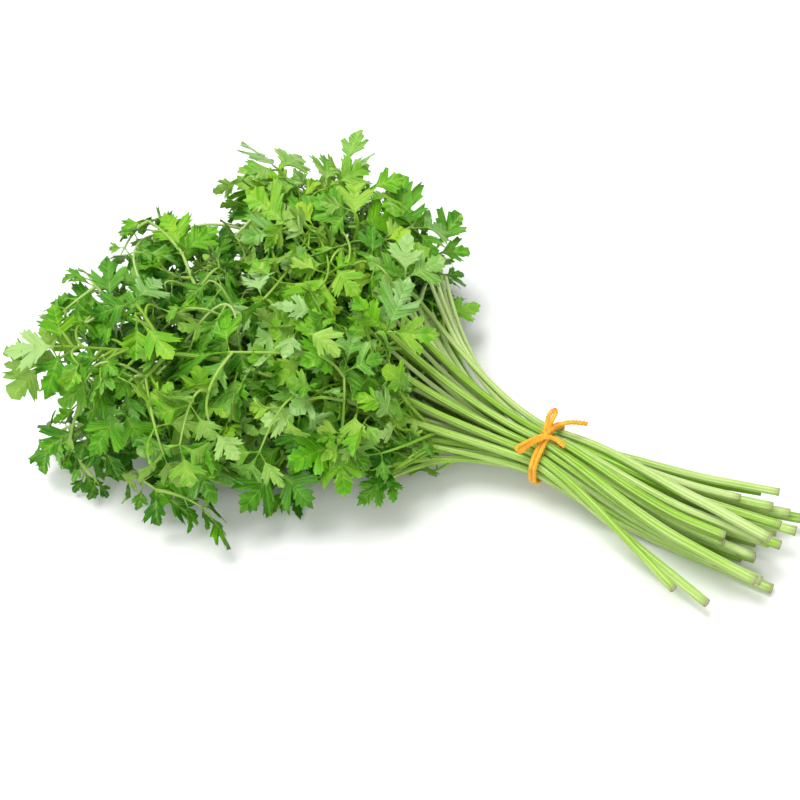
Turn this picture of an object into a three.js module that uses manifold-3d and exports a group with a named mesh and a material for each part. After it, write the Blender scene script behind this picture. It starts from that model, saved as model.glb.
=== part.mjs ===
// A tied bunch of flat-leaf parsley, lying on its side.
//
// Millimetres, +Z up, and the surface it lies on is Z = 0. The stalks run along X, with their cut
// ends at +X and their leaves at -X, and X = 0 is the plane of the tie. Each leafy stem is one solid:
// a stalk that tapers from its cut end, two side branches at its fork, a pair of single leaflets, and
// three leaflets on the tip of the stalk and of each branch. The tie is one solid too. At the end the
// group is moved so that its origin is on the surface, under the middle of the whole bunch.

import * as THREE from "three";
import { mergeVertices } from "three/addons/utils/BufferGeometryUtils.js";
import Module from "manifold-3d";

// ---- Driving dimensions ----------------------------------------------------------------------

const STEM_COUNT = 30;
const PITCH = 3.95; // stalk centre to stalk centre, inside the tie
const TIE_HEIGHT = 25; // middle of the bundle above the surface, at the tie

const CUT_END = [86, 114]; // distance from the tie to a cut end
const LEVEL_FROM = 76; // past here the cut ends run level with the surface
const FIRST_FORK = [61, 157]; // distance from the tie to a stalk's fork
const TIP_RUN = [32, 46]; // from the fork to the tip of the stalk

const CUT_RADIUS = 2.4;
const TIE_RADIUS = 1.8;
const FORK_RADIUS = 1.4;
const TIP_RADIUS = 1.1;
const STALK_SIDES = 5;

const BRANCH_LENGTH = [24, 41];
const BRANCH_SPREAD = 50; // degrees between a branch and the stalk
const BRANCH_RADII = [1.2, 1, 1];
const BRANCH_SIDES = 3;

const LEAFLET_LENGTH = [27, 34];
const SIDE_LEAFLET = 0.86; // a side leaflet's share of the length of the middle one
const TRIO_SPREAD = 68; // degrees between the leaflets of a trio
const SINGLE_SPREAD = 60; // and between a single leaflet and the stalk
const BLADE = 0.8; // leaf thickness
const TALLEST = 92; // no leaf stands higher than this

const STRING_RADIUS = 1.2;
const STRING_GAP = 0.6; // between the string and the stalks
const STRING_SIDES = 6;

const TINY = 0.04; // corners closer together than this become one
const SAMPLE_STEP = 2.8; // between the points that stand for a leaflet or a stalk
const CLEAR_OTHERS = 3; // between those points and another stem's
const CLEAR_OWN = 2.4; // and between them and their own stem's
const TRIES = 40; // draws for a leaflet or a branch before it is left out
const SEED = 403;

// ---- Numbers and vectors ---------------------------------------------------------------------

const radians = THREE.MathUtils.degToRad;
const mix = THREE.MathUtils.lerp;
const vec = (x, y, z) => new THREE.Vector3(x, y, z);
const UP = vec(0, 0, 1);
const cross = (a, b) => vec(0, 0, 0).crossVectors(a, b);

// A sum of vectors, each with its weight.
function sum(...pairs) {
  const total = vec(0, 0, 0);
  for (const [vector, weight] of pairs) total.addScaledVector(vector, weight);
  return total;
}

// The minimal standard generator: the same draws from 0 to 1 for the same stem and purpose.
function seeded(stem, purpose) {
  let state = (SEED + stem) * 7919 + purpose * 104729;
  return () => {
    state = (state * 16807) % 2147483647;
    return state / 2147483647;
  };
}

const drawSeveral = (draw, count) => Array.from({ length: count }, draw);

// ---- Where the stalks run ----------------------------------------------------------------------

// The first STEM_COUNT places of a hexagonal lattice, nearest the middle first.
function packedPlaces() {
  const places = [];
  for (let row = -4; row <= 4; row++)
    for (let column = -5; column <= 5; column++) {
      const y = (column + (row % 2 ? 0.5 : 0)) * PITCH + 0.3;
      const z = row * PITCH * Math.sqrt(0.75) + 0.2;
      places.push({ y, z, radius: Math.hypot(y, z) });
    }
  places.sort((a, b) => a.radius - b.radius);
  return places.slice(0, STEM_COUNT);
}

const PLACES = packedPlaces();
const OUTERMOST = PLACES[STEM_COUNT - 1].radius;

const CUT_TWIST = radians(48);
const LEAF_TWIST = radians(-30);
const CUT_FAN = { y: 1.05, z: 0.5 }; // how much the bundle widens by LEVEL_FROM
const CUT_SIDEWAYS = 4; // how far its middle has moved to +Y there
const LEAF_FAN = { y: 5.6, z: 1.9, by: 130 }; // how much it widens by that distance
const LEAF_RISE = 25; // how far its middle rises
const LEAF_RISE_BY = 95; // most of that by this distance
const LEAF_BEND = 0.0004; // sideways bend of the leafy end, per mm squared

// A packed place turned by the twist and widened by the fan, at x.
function spreadAt(place, x) {
  const cut = Math.min(Math.max(x, 0) / LEVEL_FROM, 1);
  const leaf = Math.max(-x, 0) / LEAF_FAN.by;
  const open = Math.pow(leaf, 1.5);
  const eased = cut * (2 - cut);
  const turn = eased * CUT_TWIST + Math.min(leaf, 1) * LEAF_TWIST;
  const y = place.y * Math.cos(turn) - place.z * Math.sin(turn);
  const z = place.y * Math.sin(turn) + place.z * Math.cos(turn);
  return {
    y: y * (1 + CUT_FAN.y * Math.pow(cut, 1.5) + LEAF_FAN.y * open),
    z: z * (1 + CUT_FAN.z * eased + LEAF_FAN.z * open),
  };
}

// The middle of the cut ends, as high as rests the lowest stalk's flat underside on the surface.
const LOWEST = Math.min(...PLACES.map((place) => spreadAt(place, LEVEL_FROM).z));
const LEVEL_HEIGHT = CUT_RADIUS * Math.cos(Math.PI / STALK_SIDES) - LOWEST;

function middleAt(x) {
  const cut = Math.min(Math.max(x, 0) / LEVEL_FROM, 1);
  const leaf = Math.max(-x, 0);
  return {
    y: CUT_SIDEWAYS * cut * cut - LEAF_BEND * leaf * leaf,
    z: mix(TIE_HEIGHT, LEVEL_HEIGHT, cut * cut * (3 - 2 * cut)) +
      LEAF_RISE * (1 - Math.exp(-Math.pow(leaf / LEAF_RISE_BY, 2))),
  };
}

function stalkPoint(stem, x) {
  if (x > LEVEL_FROM) {
    const [level, before] = [stalkPoint(stem, LEVEL_FROM), stalkPoint(stem, LEVEL_FROM - 1)];
    return vec(x, level.y + (level.y - before.y) * (x - LEVEL_FROM), level.z);
  }
  const spread = spreadAt(stem.place, x);
  const middle = middleAt(x);
  const past = Math.pow(Math.max(x, 0) / LEVEL_FROM, 2);
  const leafy = Math.pow(Math.max(-x, 0) / LEAF_FAN.by, 2);
  const y = middle.y + spread.y + past * stem.stray + leafy * stem.sway.y;
  return vec(x, y, middle.z + spread.z + past * stem.lift + leafy * stem.sway.z);
}

function stalkRadius(stem, x) {
  if (x >= 0) return mix(TIE_RADIUS, CUT_RADIUS, Math.min(x / LEVEL_FROM, 1));
  if (-x < stem.fork) return mix(TIE_RADIUS, FORK_RADIUS, -x / stem.fork);
  return mix(FORK_RADIUS, TIP_RADIUS, (-x - stem.fork) / stem.run);
}

// One stem's own measures. The two stalks whose cut ends are furthest to -Y stray from the others, the
// highest one lies over its neighbours, and the stems lowest on the -Y side of the leaves are short.
const atCutEnd = (place) => spreadAt(place, LEVEL_FROM);
const BY_SIDE = [...PLACES].sort((a, b) => atCutEnd(a).y - atCutEnd(b).y);
const HIGHEST = PLACES.reduce((a, b) => (atCutEnd(b).z > atCutEnd(a).z ? b : a));
const SHORT_BELOW = -1.12; // a place is low and to -Y from this share of the bundle's radius
const SHORT_FORK = 44;
const SHORT_SHARE = 0.72; // of the usual size of its leaf
const ASIDE = 1.3; // how far a cut end lies to either side of its place
const SWAY = { y: 3, z: 2.5 }; // how far the leafy end of a stalk sways from its place

function makeStem(index) {
  const place = PLACES[index];
  const [run, end, swayY, swayZ, aside] = drawSeveral(seeded(index, 0), 5);
  const share = (index * 0.618 + 0.35) % 1;
  const isShort = place.y + place.z < SHORT_BELOW * OUTERMOST;
  const stem = {
    index,
    place,
    fork: isShort ? SHORT_FORK : mix(...FIRST_FORK, share),
    run: isShort ? SHORT_SHARE * TIP_RUN[0] : mix(...TIP_RUN, run),
    share: isShort ? SHORT_SHARE : 1,
    end: mix(...CUT_END, end),
    stray: mix(-ASIDE, ASIDE, aside),
    lift: 0,
    sway: { y: mix(-SWAY.y, SWAY.y, swayY), z: mix(-SWAY.z, SWAY.z, swayZ) },
  };
  if (place === BY_SIDE[0]) return { ...stem, stray: -14, end: LEVEL_FROM + 4 };
  if (place === BY_SIDE[1]) return { ...stem, stray: -9 };
  if (place === HIGHEST) return { ...stem, stray: -12, lift: 3.6 };
  return stem;
}

// ---- Solids ------------------------------------------------------------------------------------

const wasm = await Module();
wasm.setup();

function solid(geometry) {
  const plain = geometry.clone();
  plain.deleteAttribute("normal");
  plain.deleteAttribute("uv");
  const merged = mergeVertices(plain, 1e-4);
  return new wasm.Manifold(
    new wasm.Mesh({
      numProp: 3,
      vertProperties: merged.attributes.position.array,
      triVerts: new Uint32Array(merged.index.array),
    }),
  );
}

function geometryOf(manifold) {
  const mesh = manifold.getMesh();
  const geometry = new THREE.BufferGeometry();
  geometry.setAttribute("position", new THREE.BufferAttribute(mesh.vertProperties, 3));
  geometry.setIndex(new THREE.BufferAttribute(mesh.triVerts, 1));
  geometry.computeVertexNormals();
  return geometry;
}

// The parts as one solid, without the tiny edges and the crumbs that a union may leave.
function fused(parts) {
  const bodies = wasm.Manifold.union(parts).simplify(TINY).decompose();
  return bodies.reduce((a, b) => (b.volume() > a.volume() ? b : a));
}

// The two directions across a path at each of its points, the first of them level.
function framesOf(points) {
  return points.map((point, i) => {
    const before = points[Math.max(i - 1, 0)];
    const after = points[Math.min(i + 1, points.length - 1)];
    const ahead = after.clone().sub(before).normalize();
    const level = cross(ahead, UP).normalize();
    return { level, rise: cross(level, ahead) };
  });
}

// A capped tube: a cylinder's rings laid on the points, each at its own radius, a flat side down.
function tube(points, radii, sides, frames = framesOf(points)) {
  const lengths = points.length - 1;
  const geometry = new THREE.CylinderGeometry(1, 1, lengths, sides, lengths);
  const place = geometry.attributes.position;
  for (let i = 0; i < place.count; i++) {
    const [x, y, z] = [place.getX(i), place.getY(i), place.getZ(i)];
    const ring = Math.round(lengths / 2 - y);
    const reach = Math.hypot(x, z) * radii[ring];
    const angle = Math.atan2(x, z) + Math.PI / sides - Math.PI / 2;
    const { level, rise } = frames[ring];
    const spot = sum(
      [points[ring], 1],
      [level, reach * Math.cos(angle)],
      [rise, reach * Math.sin(angle)],
    );
    place.setXYZ(i, spot.x, spot.y, spot.z);
  }
  return solid(geometry);
}

// ---- Leaflets ------------------------------------------------------------------------------------

// Half of a leaflet's outline, from its tip back: its share of the length from the root, and degrees
// from the rib. The middle lobe's tooth, the cut between the lobes, and the side lobe's tip.
const LEAFLET_TIP = [1, 0];
const HALF_OUTLINE = [
  [0.78, 13],
  [0.58, 17],
  [0.86, 29],
];
const OUTLINE = [
  ...HALF_OUTLINE.map(([reach, angle]) => [reach, -angle]).reverse(),
  LEAFLET_TIP,
  ...HALF_OUTLINE,
];
const NOTCH = 0.13; // the cut between two leaflets reaches this near to their root
const ROOT_LENGTH = 2.2; // from the sunk end of a blade's root to where its leaflets meet
const ROOT_DEPTH = 0.8; // how far that end is sunk into the tip it grows from

// A point of a leaflet's middle surface: folded along the rib, and drooping towards the tip.
function onLeaflet(leaflet, reach, degrees) {
  const ahead = reach * leaflet.length * Math.cos(radians(degrees));
  const aside = reach * leaflet.length * Math.sin(radians(degrees));
  const lift = leaflet.fold * Math.abs(aside) - (leaflet.droop * ahead * ahead) / leaflet.length;
  return sum([leaflet.root, 1], [leaflet.ahead, ahead], [leaflet.aside, aside], [leaflet.face, lift]);
}

// A thin disc whose rim is drawn out to its sunk root and to the outline of one or more leaflets, in
// the order of their turns. Both of its faces are split alike.
function bladeSolid(base, meeting, face, leaflets) {
  const rim = [{ spot: base, face }];
  leaflets.forEach((leaflet, i) => {
    if (i > 0) {
      const between = sum([leaflets[i - 1].ahead, 1], [leaflet.ahead, 1]).normalize();
      rim.push({ spot: sum([meeting, 1], [between, NOTCH * leaflet.length]), face });
    }
    for (const [reach, degrees] of OUTLINE)
      rim.push({ spot: onLeaflet(leaflet, reach, degrees), face: leaflet.face });
  });
  const geometry = new THREE.CylinderGeometry(1, 1, BLADE, rim.length, 1);
  const place = geometry.attributes.position;
  for (let i = 0; i < place.count; i++) {
    const [x, y, z] = [place.getX(i), place.getY(i), place.getZ(i)];
    const turn = Math.round((Math.atan2(x, z) / (2 * Math.PI)) * rim.length);
    const onRim = Math.hypot(x, z) > 0.5;
    const from = onRim ? rim[(turn + rim.length) % rim.length] : { spot: meeting, face };
    const spot = sum([from.spot, 1], [from.face, y]);
    place.setXYZ(i, spot.x, spot.y, spot.z);
  }
  return solid(geometry);
}

// Points over a leaflet, about SAMPLE_STEP apart.
function leafletSamples(leaflet) {
  const samples = [];
  for (let i = 0; i < OUTLINE.length; i++) {
    const next = OUTLINE[Math.min(i + 1, OUTLINE.length - 1)];
    for (const part of [0, 0.5]) {
      const reach = mix(OUTLINE[i][0], next[0], part);
      const degrees = mix(OUTLINE[i][1], next[1], part);
      const steps = Math.round((reach * leaflet.length) / SAMPLE_STEP);
      for (let step = 1; step <= steps; step++)
        samples.push(onLeaflet(leaflet, (reach * step) / steps, degrees));
    }
  }
  return samples;
}

function samplesAlong(points) {
  const samples = [];
  for (let i = 0; i < points.length - 1; i++) {
    const steps = Math.ceil(points[i].distanceTo(points[i + 1]) / SAMPLE_STEP);
    for (let step = 0; step < steps; step++)
      samples.push(points[i].clone().lerp(points[i + 1], step / steps));
  }
  return samples;
}

// ---- Keeping the leaves apart ------------------------------------------------------------------

const CELL = 5; // no two samples further apart than this are compared
const kept = new Map();
const cellOf = (point) => point.toArray().map((value) => Math.floor(value / CELL));

function keep(points, owner, radius = 0) {
  for (const point of points) {
    const key = cellOf(point).join();
    if (!kept.has(key)) kept.set(key, []);
    kept.get(key).push({ point, owner, radius });
  }
}

// True if every point is clear of the surface and of all that is kept. Points of the same stem that
// are within ownReach of the root are let be.
function isClear(points, owner, root, ownReach, lowest) {
  return points.every((point) => {
    if (point.z < lowest || point.z > TALLEST) return false;
    const nearRoot = root.distanceTo(point) < ownReach;
    const [cx, cy, cz] = cellOf(point);
    for (let x = cx - 1; x <= cx + 1; x++)
      for (let y = cy - 1; y <= cy + 1; y++)
        for (let z = cz - 1; z <= cz + 1; z++)
          for (const other of kept.get(`${x},${y},${z}`) ?? []) {
            if (other.owner === owner && nearRoot) continue;
            const room = (other.owner === owner ? CLEAR_OWN : CLEAR_OTHERS) + other.radius;
            if (other.point.distanceTo(point) < room) return false;
          }
    return true;
  });
}

// ---- Growing a stem ----------------------------------------------------------------------------

const OWN_REACH = 7; // near its root, a leaflet may come close to its own stem
const YAW = 12; // degrees between the extreme turns drawn for a leaflet
const LOOSE = { first: 0.2, more: 0.02 }; // how freely a leaflet tilts: at first, and more each try
const SHRINK = 0.007; // and how much smaller it is after each try
const SIZES = [0.9, 1.1];
const FOLD = [-0.1, 0.3];
const DROOP = [0.02, 0.3];
const TURN = { first: 20, more: 2 }; // the same for the degrees drawn for a branch
const RISE = { first: 0.4, more: 0.04 }; // and for its slope
const SAG = 0.1; // how far a branch's end sags, as a share of its length

const directionOf = (from, to) => to.clone().sub(from).normalize();
const squareTo = (ahead, face) => sum([face, 1], [ahead, -face.dot(ahead)]).normalize();

// Draws leaflets near the wanted turn from ahead, ever looser and smaller, until one is clear.
function growLeaflet(stem, purpose, root, ahead, face, turn, size) {
  const draw = seeded(stem.index, purpose);
  for (let attempt = 0; attempt < TRIES; attempt++) {
    const loose = LOOSE.first + LOOSE.more * attempt;
    const [yaw, pitch, roll, scale, fold, droop] = drawSeveral(draw, 6);
    const turned = radians(turn + (yaw - 0.5) * YAW);
    const flat = sum([ahead, Math.cos(turned)], [cross(face, ahead), Math.sin(turned)]);
    const leafletAhead = sum([flat, 1], [face, (pitch - 0.6) * 2 * loose]).normalize();
    const tilted = sum([face, 1], [cross(face, flat), (roll - 0.5) * 3 * loose]);
    const leafletFace = squareTo(leafletAhead, tilted);
    const leaflet = {
      root,
      ahead: leafletAhead,
      face: leafletFace,
      aside: cross(leafletFace, leafletAhead),
      length: size * mix(...SIZES, scale) * (1 - SHRINK * attempt),
      fold: mix(...FOLD, fold),
      droop: mix(...DROOP, droop),
    };
    const samples = leafletSamples(leaflet);
    if (isClear(samples, stem.index, root, OWN_REACH, BLADE)) {
      keep(samples, stem.index);
      return leaflet;
    }
  }
  return null;
}

// Leaflets at the given turns from ahead, as one blade, or nothing where none is clear.
function growBlade(stem, purpose, base, ahead, face, turns, size) {
  const meeting = sum([base, 1], [ahead, ROOT_LENGTH]);
  const leaflets = turns.map((turn, i) =>
    growLeaflet(stem, purpose + i, meeting, ahead, face, turn, turn ? size * SIDE_LEAFLET : size),
  );
  const clear = leaflets.filter(Boolean);
  return clear.length ? [bladeSolid(base, meeting, face, clear)] : [];
}

function growTrio(stem, purpose, tip, ahead, face, size) {
  const base = sum([tip, 1], [ahead, -ROOT_DEPTH]);
  return growBlade(stem, purpose, base, ahead, face, [-TRIO_SPREAD, 0, TRIO_SPREAD], size);
}

function growSingle(stem, purpose, base, ahead, face, side, size) {
  const turn = radians(SINGLE_SPREAD) * side;
  const turned = sum([ahead, Math.cos(turn)], [cross(face, ahead), Math.sin(turn)]);
  return growBlade(stem, purpose, base, turned, face, [0], size * SIDE_LEAFLET);
}

// Draws a branch to one side until it is clear.
function growBranch(stem, purpose, root, ahead, face, side) {
  const draw = seeded(stem.index, purpose);
  for (let attempt = 0; attempt < TRIES; attempt++) {
    const [turn, rise, reach] = drawSeveral(draw, 3);
    const spread = BRANCH_SPREAD + (turn - 0.5) * (TURN.first + TURN.more * attempt);
    const angle = radians(spread) * side;
    const direction = sum(
      [ahead, Math.cos(angle)],
      [cross(face, ahead), Math.sin(angle)],
      [face, (rise - 0.35) * (RISE.first + RISE.more * attempt)],
    ).normalize();
    const length = mix(...BRANCH_LENGTH, reach) * stem.share;
    const points = [0, 0.5, 1].map((part) =>
      sum([root, 1], [direction, length * part], [UP, -SAG * length * part * part]),
    );
    const samples = samplesAlong(points);
    if (isClear(samples, stem.index, root, 2 * OWN_REACH, 2 * BRANCH_RADII[0])) {
      keep(samples, stem.index, BRANCH_RADII[0]);
      return points;
    }
  }
  return null;
}

// Where the stalk's rings stand, from its cut end to its tip.
const BARE_STATIONS = [LEVEL_FROM, 44, 16, 0, -18, -46];
const STATION_GAP = 10; // and no ring this near to the fork

function stalkStations(stem) {
  const bare = BARE_STATIONS.filter((x) => x > STATION_GAP - stem.fork);
  const last = bare.at(-1);
  const leafy = stem.fork > 2 * STATION_GAP - last ? [(last - stem.fork) / 2] : [];
  const cut = [stem.end, (stem.end + LEVEL_FROM) / 2];
  return [...cut, ...bare, ...leafy, -stem.fork, -stem.fork - stem.run];
}

// Square to ahead, facing upwards and outwards from the bundle's middle.
function leafFace(stem, x, ahead) {
  const spread = spreadAt(stem.place, x);
  const [sway] = drawSeveral(seeded(stem.index, 1), 1);
  const wanted = sum([UP, 1], [vec(0, spread.y, spread.z), 0.012], [vec(0, 1, 0), sway - 0.5]);
  return squareTo(ahead, wanted);
}

function growStem(stem) {
  const stations = stalkStations(stem);
  const points = stations.map((x) => stalkPoint(stem, x));
  const radii = stations.map((x) => stalkRadius(stem, x));
  const parts = [tube(points, radii, STALK_SIDES)];

  const [fork, tip] = points.slice(-2);
  const ahead = directionOf(fork, tip);
  const face = leafFace(stem, -stem.fork, ahead);
  const size = mix(...LEAFLET_LENGTH, (stem.index * 0.381) % 1) * stem.share;
  parts.push(...growTrio(stem, 2, tip, ahead, face, size));

  for (const [purpose, side] of [[10, 1], [20, -1]]) {
    const branch = growBranch(stem, purpose, fork, ahead, face, side);
    if (branch) {
      const branchAhead = directionOf(branch[1], branch[2]);
      const branchFace = squareTo(branchAhead, face);
      parts.push(tube(branch, BRANCH_RADII, BRANCH_SIDES));
      parts.push(...growTrio(stem, purpose + 1, branch[2], branchAhead, branchFace, size));
    }
    const base = fork.clone().lerp(tip, side > 0 ? 0.45 : 0.6);
    parts.push(...growSingle(stem, purpose + 5, base, ahead, face, side, size));
  }
  return fused(parts);
}

// ---- The tie -----------------------------------------------------------------------------------

// The string's places are measured from the middle of the bundle at the tie.
const TURN_POINTS = 20;
const KNOT = vec(2.5, -2, 15.4);
const KNOT_RADII = [3.2, 2.9, 2.2];
const TURN_PARTING = 1.4; // how far each turn is from the middle of the tie
const TURN_LEAN = 1.2; // how far the turns lean towards the leaves, under the bundle

const UPPER_EAR = [
  vec(1.6, -1, 15.8),
  vec(-0.6, 5, 17.6),
  vec(-1.2, 10, 17.6),
  vec(0.8, 13, 16.8),
  vec(3.2, 10.5, 17.4),
  vec(3.6, 5, 17.6),
  vec(3.2, -1, 15.8),
];
const LOWER_EAR = [
  vec(2.4, -2, 15.8),
  vec(-1.2, -6, 15.4),
  vec(-4.6, -9.6, 13.8),
  vec(-6.6, -12.2, 12.4),
  vec(-4.2, -12.6, 12),
  vec(-1.4, -8.6, 14.4),
  vec(3, -3, 15.8),
];
const LONG_TAIL = [vec(2.6, -2, 15.8), vec(5, 3, 17.8), vec(9, 8, 17.4), vec(15.5, 12, 15.8)];
const SHORT_TAIL = [vec(3, -2.6, 15.8), vec(8, -3, 16.8), vec(12.6, -4, 15.8)];

// One turn of the string round the stalks, from the knot back to it. At each angle it is as far out as
// the outermost stalk that way allows.
function turnPoints(side) {
  const reach = TIE_RADIUS + STRING_GAP + STRING_RADIUS;
  const start = Math.atan2(KNOT.z, KNOT.y);
  return Array.from({ length: TURN_POINTS + 1 }, (_, i) => {
    const part = i / TURN_POINTS;
    const angle = start + part * 2 * Math.PI;
    const [y, z] = [Math.cos(angle), Math.sin(angle)];
    const far = PLACES.reduce((a, b) => (b.y * y + b.z * z > a.y * y + a.z * z ? b : a));
    const x = KNOT.x - TURN_LEAN * Math.sin(Math.PI * part) + side * TURN_PARTING;
    return vec(x, far.y + reach * y, far.z + reach * z);
  });
}

// The two directions across a turn: along the bundle, and out from it.
function turnFrames(points) {
  return points.map((point, i) => {
    const last = points.length - 1;
    const after = points[i === last ? 1 : i + 1];
    const before = points[i === 0 ? last - 1 : i - 1];
    const ahead = after.clone().sub(before).normalize();
    const level = squareTo(ahead, vec(1, 0, 0));
    return { level, rise: cross(level, ahead) };
  });
}

function string(points, frames) {
  const raised = points.map((point) => vec(point.x, point.y, point.z + TIE_HEIGHT));
  return tube(raised, points.map(() => STRING_RADIUS), STRING_SIDES, frames ?? framesOf(raised));
}

function tieSolid() {
  const knot = new THREE.IcosahedronGeometry(1, 1);
  knot.scale(...KNOT_RADII);
  knot.translate(KNOT.x, KNOT.y, KNOT.z + TIE_HEIGHT);
  const turns = [-1, 1].map((side) => {
    const points = turnPoints(side);
    return string(points, turnFrames(points));
  });
  const bow = [UPPER_EAR, LOWER_EAR, LONG_TAIL, SHORT_TAIL].map((points) => string(points));
  return fused([solid(knot), ...turns, ...bow]);
}

// ---- The bunch ---------------------------------------------------------------------------------

const leafGreen = new THREE.MeshStandardMaterial({ color: 0x6fae35, roughness: 0.55, metalness: 0 });
const twineOrange = new THREE.MeshStandardMaterial({ color: 0xf0a52e, roughness: 0.9, metalness: 0 });

const bunch = new THREE.Group();

function addPiece(name, manifold, material) {
  const mesh = new THREE.Mesh(geometryOf(manifold), material);
  mesh.name = name;
  bunch.add(mesh);
}

const stems = PLACES.map((_, index) => makeStem(index));
for (const stem of stems) {
  const points = stalkStations(stem).map((x) => stalkPoint(stem, x));
  keep(samplesAlong(points), stem.index, FORK_RADIUS);
}
for (const stem of stems) {
  const number = String(stem.index + 1).padStart(2, "0");
  addPiece(`leafy_stem_${number}`, growStem(stem), leafGreen);
}
addPiece("twine_tie", tieSolid(), twineOrange);

const box = new THREE.Box3().setFromObject(bunch);
const middle = box.getCenter(vec(0, 0, 0));
bunch.position.set(-middle.x, -middle.y, -box.min.z);

export default bunch;
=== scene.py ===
"""A tied bunch of flat-leaf parsley lying on its side.

Measures are in millimetres until a mesh is made, and +X runs along the stalks to their cut ends. The
stems are grown again by the rule that the solids follow, with the same draws, and the solids say
which draw was kept at each place. Each stem is then dressed as two pieces: its stalk with all its
branches, ribbed and tapered, and its leaflets, thin shells with lobes, teeth and veins. Small twigs
and leaflets that the solids leave out are added by the same kind of rule, where there is room.
"""

import math
from dataclasses import dataclass, field, replace
from types import SimpleNamespace

import bpy
import numpy as np
from mathutils import Matrix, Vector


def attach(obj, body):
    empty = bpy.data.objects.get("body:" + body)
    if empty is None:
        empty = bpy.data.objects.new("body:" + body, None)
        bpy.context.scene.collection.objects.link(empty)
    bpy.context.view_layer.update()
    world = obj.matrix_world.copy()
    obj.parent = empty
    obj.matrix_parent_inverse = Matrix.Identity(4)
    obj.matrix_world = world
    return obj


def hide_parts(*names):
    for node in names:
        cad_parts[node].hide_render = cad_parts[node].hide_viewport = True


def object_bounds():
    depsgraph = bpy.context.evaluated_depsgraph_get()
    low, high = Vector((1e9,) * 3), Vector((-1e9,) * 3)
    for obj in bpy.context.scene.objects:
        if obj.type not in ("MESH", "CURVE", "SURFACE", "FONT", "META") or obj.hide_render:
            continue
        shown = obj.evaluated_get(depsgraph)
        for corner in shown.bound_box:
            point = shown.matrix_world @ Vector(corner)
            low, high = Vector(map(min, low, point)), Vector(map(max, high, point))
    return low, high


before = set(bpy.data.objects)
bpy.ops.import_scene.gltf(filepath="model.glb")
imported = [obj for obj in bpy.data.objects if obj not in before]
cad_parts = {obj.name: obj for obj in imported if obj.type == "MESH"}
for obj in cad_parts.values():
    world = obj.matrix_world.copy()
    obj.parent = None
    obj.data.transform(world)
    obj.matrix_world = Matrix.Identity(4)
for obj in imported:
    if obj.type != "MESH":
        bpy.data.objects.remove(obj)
cad_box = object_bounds()

# ---- The bunch's measures, as in the solids

MM = 0.001
SHIFT = np.array([52.11065, 7.48015, 0.0])  # from the ground under the tie to the frame's middle

STEM_COUNT = 30
PITCH = 3.95
LATTICE_OFF = SimpleNamespace(y=0.3, z=0.2)
TIE_HEIGHT = 25
CUT_END = (86, 114)
LEVEL_FROM = 76
FIRST_FORK = (61, 157)
TIP_RUN = (32, 46)
CUT_RADIUS = 2.4
TIE_RADIUS = 1.8
FORK_RADIUS = 1.4
TIP_RADIUS = 1.1
STALK_SIDES = 5

BRANCH_LENGTH = (24, 41)
BRANCH_SPREAD = 50
BRANCH_SIDES = 3
LEAFLET_LENGTH = (27, 34)
SIDE_LEAFLET = 0.86
TRIO_SPREAD = 68
SINGLE_SPREAD = 60
BLADE = 0.8
ROOT_LENGTH = 2.2
ROOT_DEPTH = 0.8
TRIES = 40
SEED = 403

CUT_TWIST = math.radians(48)
LEAF_TWIST = math.radians(-30)
CUT_FAN = SimpleNamespace(y=1.05, z=0.5)
CUT_SIDEWAYS = 4
LEAF_FAN = SimpleNamespace(y=5.6, z=1.9, by=130)
LEAF_RISE = 25
LEAF_RISE_BY = 95
LEAF_BEND = 0.0004
SHORT_BELOW = -1.12
SHORT_FORK = 44
SHORT_SHARE = 0.72
ASIDE = 1.3
APART = SimpleNamespace(first=-14, second=-9, top=-12, top_lift=3.6)  # the three stalks that stray
SWAY = SimpleNamespace(y=3, z=2.5)

YAW = 12
SIZES = (0.9, 1.1)
FOLD = (-0.1, 0.3)
DROOP = (0.02, 0.3)
SAG = 0.1

UP = np.array([0.0, 0.0, 1.0])


def vec(*numbers):
    return np.array(numbers, float)


def mix(ends, share):
    return ends[0] + (ends[1] - ends[0]) * share


def unit(vectors):
    return vectors / np.linalg.norm(vectors, axis=-1, keepdims=True)


def square_to(ahead, face):
    """The part of face that is square to ahead, as a unit vector."""
    return unit(face - ahead * (face @ ahead))


def seeded(stem, purpose):
    """The minimal standard generator: the same draws from 0 to 1 as the solids' own."""
    state = (SEED + stem) * 7919 + purpose * 104729
    while True:
        state = state * 16807 % 2147483647
        yield state / 2147483647


def take(draws, count):
    return [next(draws) for _ in range(count)]


def packed_places():
    """The first STEM_COUNT places of a hexagonal lattice, nearest the middle first."""
    row_height = PITCH * math.sqrt(0.75)
    places = [
        ((column + row % 2 / 2) * PITCH + LATTICE_OFF.y, row * row_height + LATTICE_OFF.z)
        for row in range(-4, 5)
        for column in range(-5, 6)
    ]
    return sorted(places, key=lambda place: math.hypot(*place))[:STEM_COUNT]


PLACES = packed_places()
OUTERMOST = math.hypot(*PLACES[-1])


def spread_at(place, x):
    """A packed place turned by the twist and widened by the fan, at x."""
    cut = np.clip(x / LEVEL_FROM, 0, 1)
    leaf = np.maximum(-x, 0) / LEAF_FAN.by
    opening = leaf**1.5
    eased = cut * (2 - cut)
    turn = eased * CUT_TWIST + np.minimum(leaf, 1) * LEAF_TWIST
    y = place[0] * np.cos(turn) - place[1] * np.sin(turn)
    z = place[0] * np.sin(turn) + place[1] * np.cos(turn)
    return (
        y * (1 + CUT_FAN.y * cut**1.5 + LEAF_FAN.y * opening),
        z * (1 + CUT_FAN.z * eased + LEAF_FAN.z * opening),
    )


LOWEST = min(spread_at(place, np.float64(LEVEL_FROM))[1] for place in PLACES)
LEVEL_HEIGHT = CUT_RADIUS * math.cos(math.pi / STALK_SIDES) - LOWEST


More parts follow.
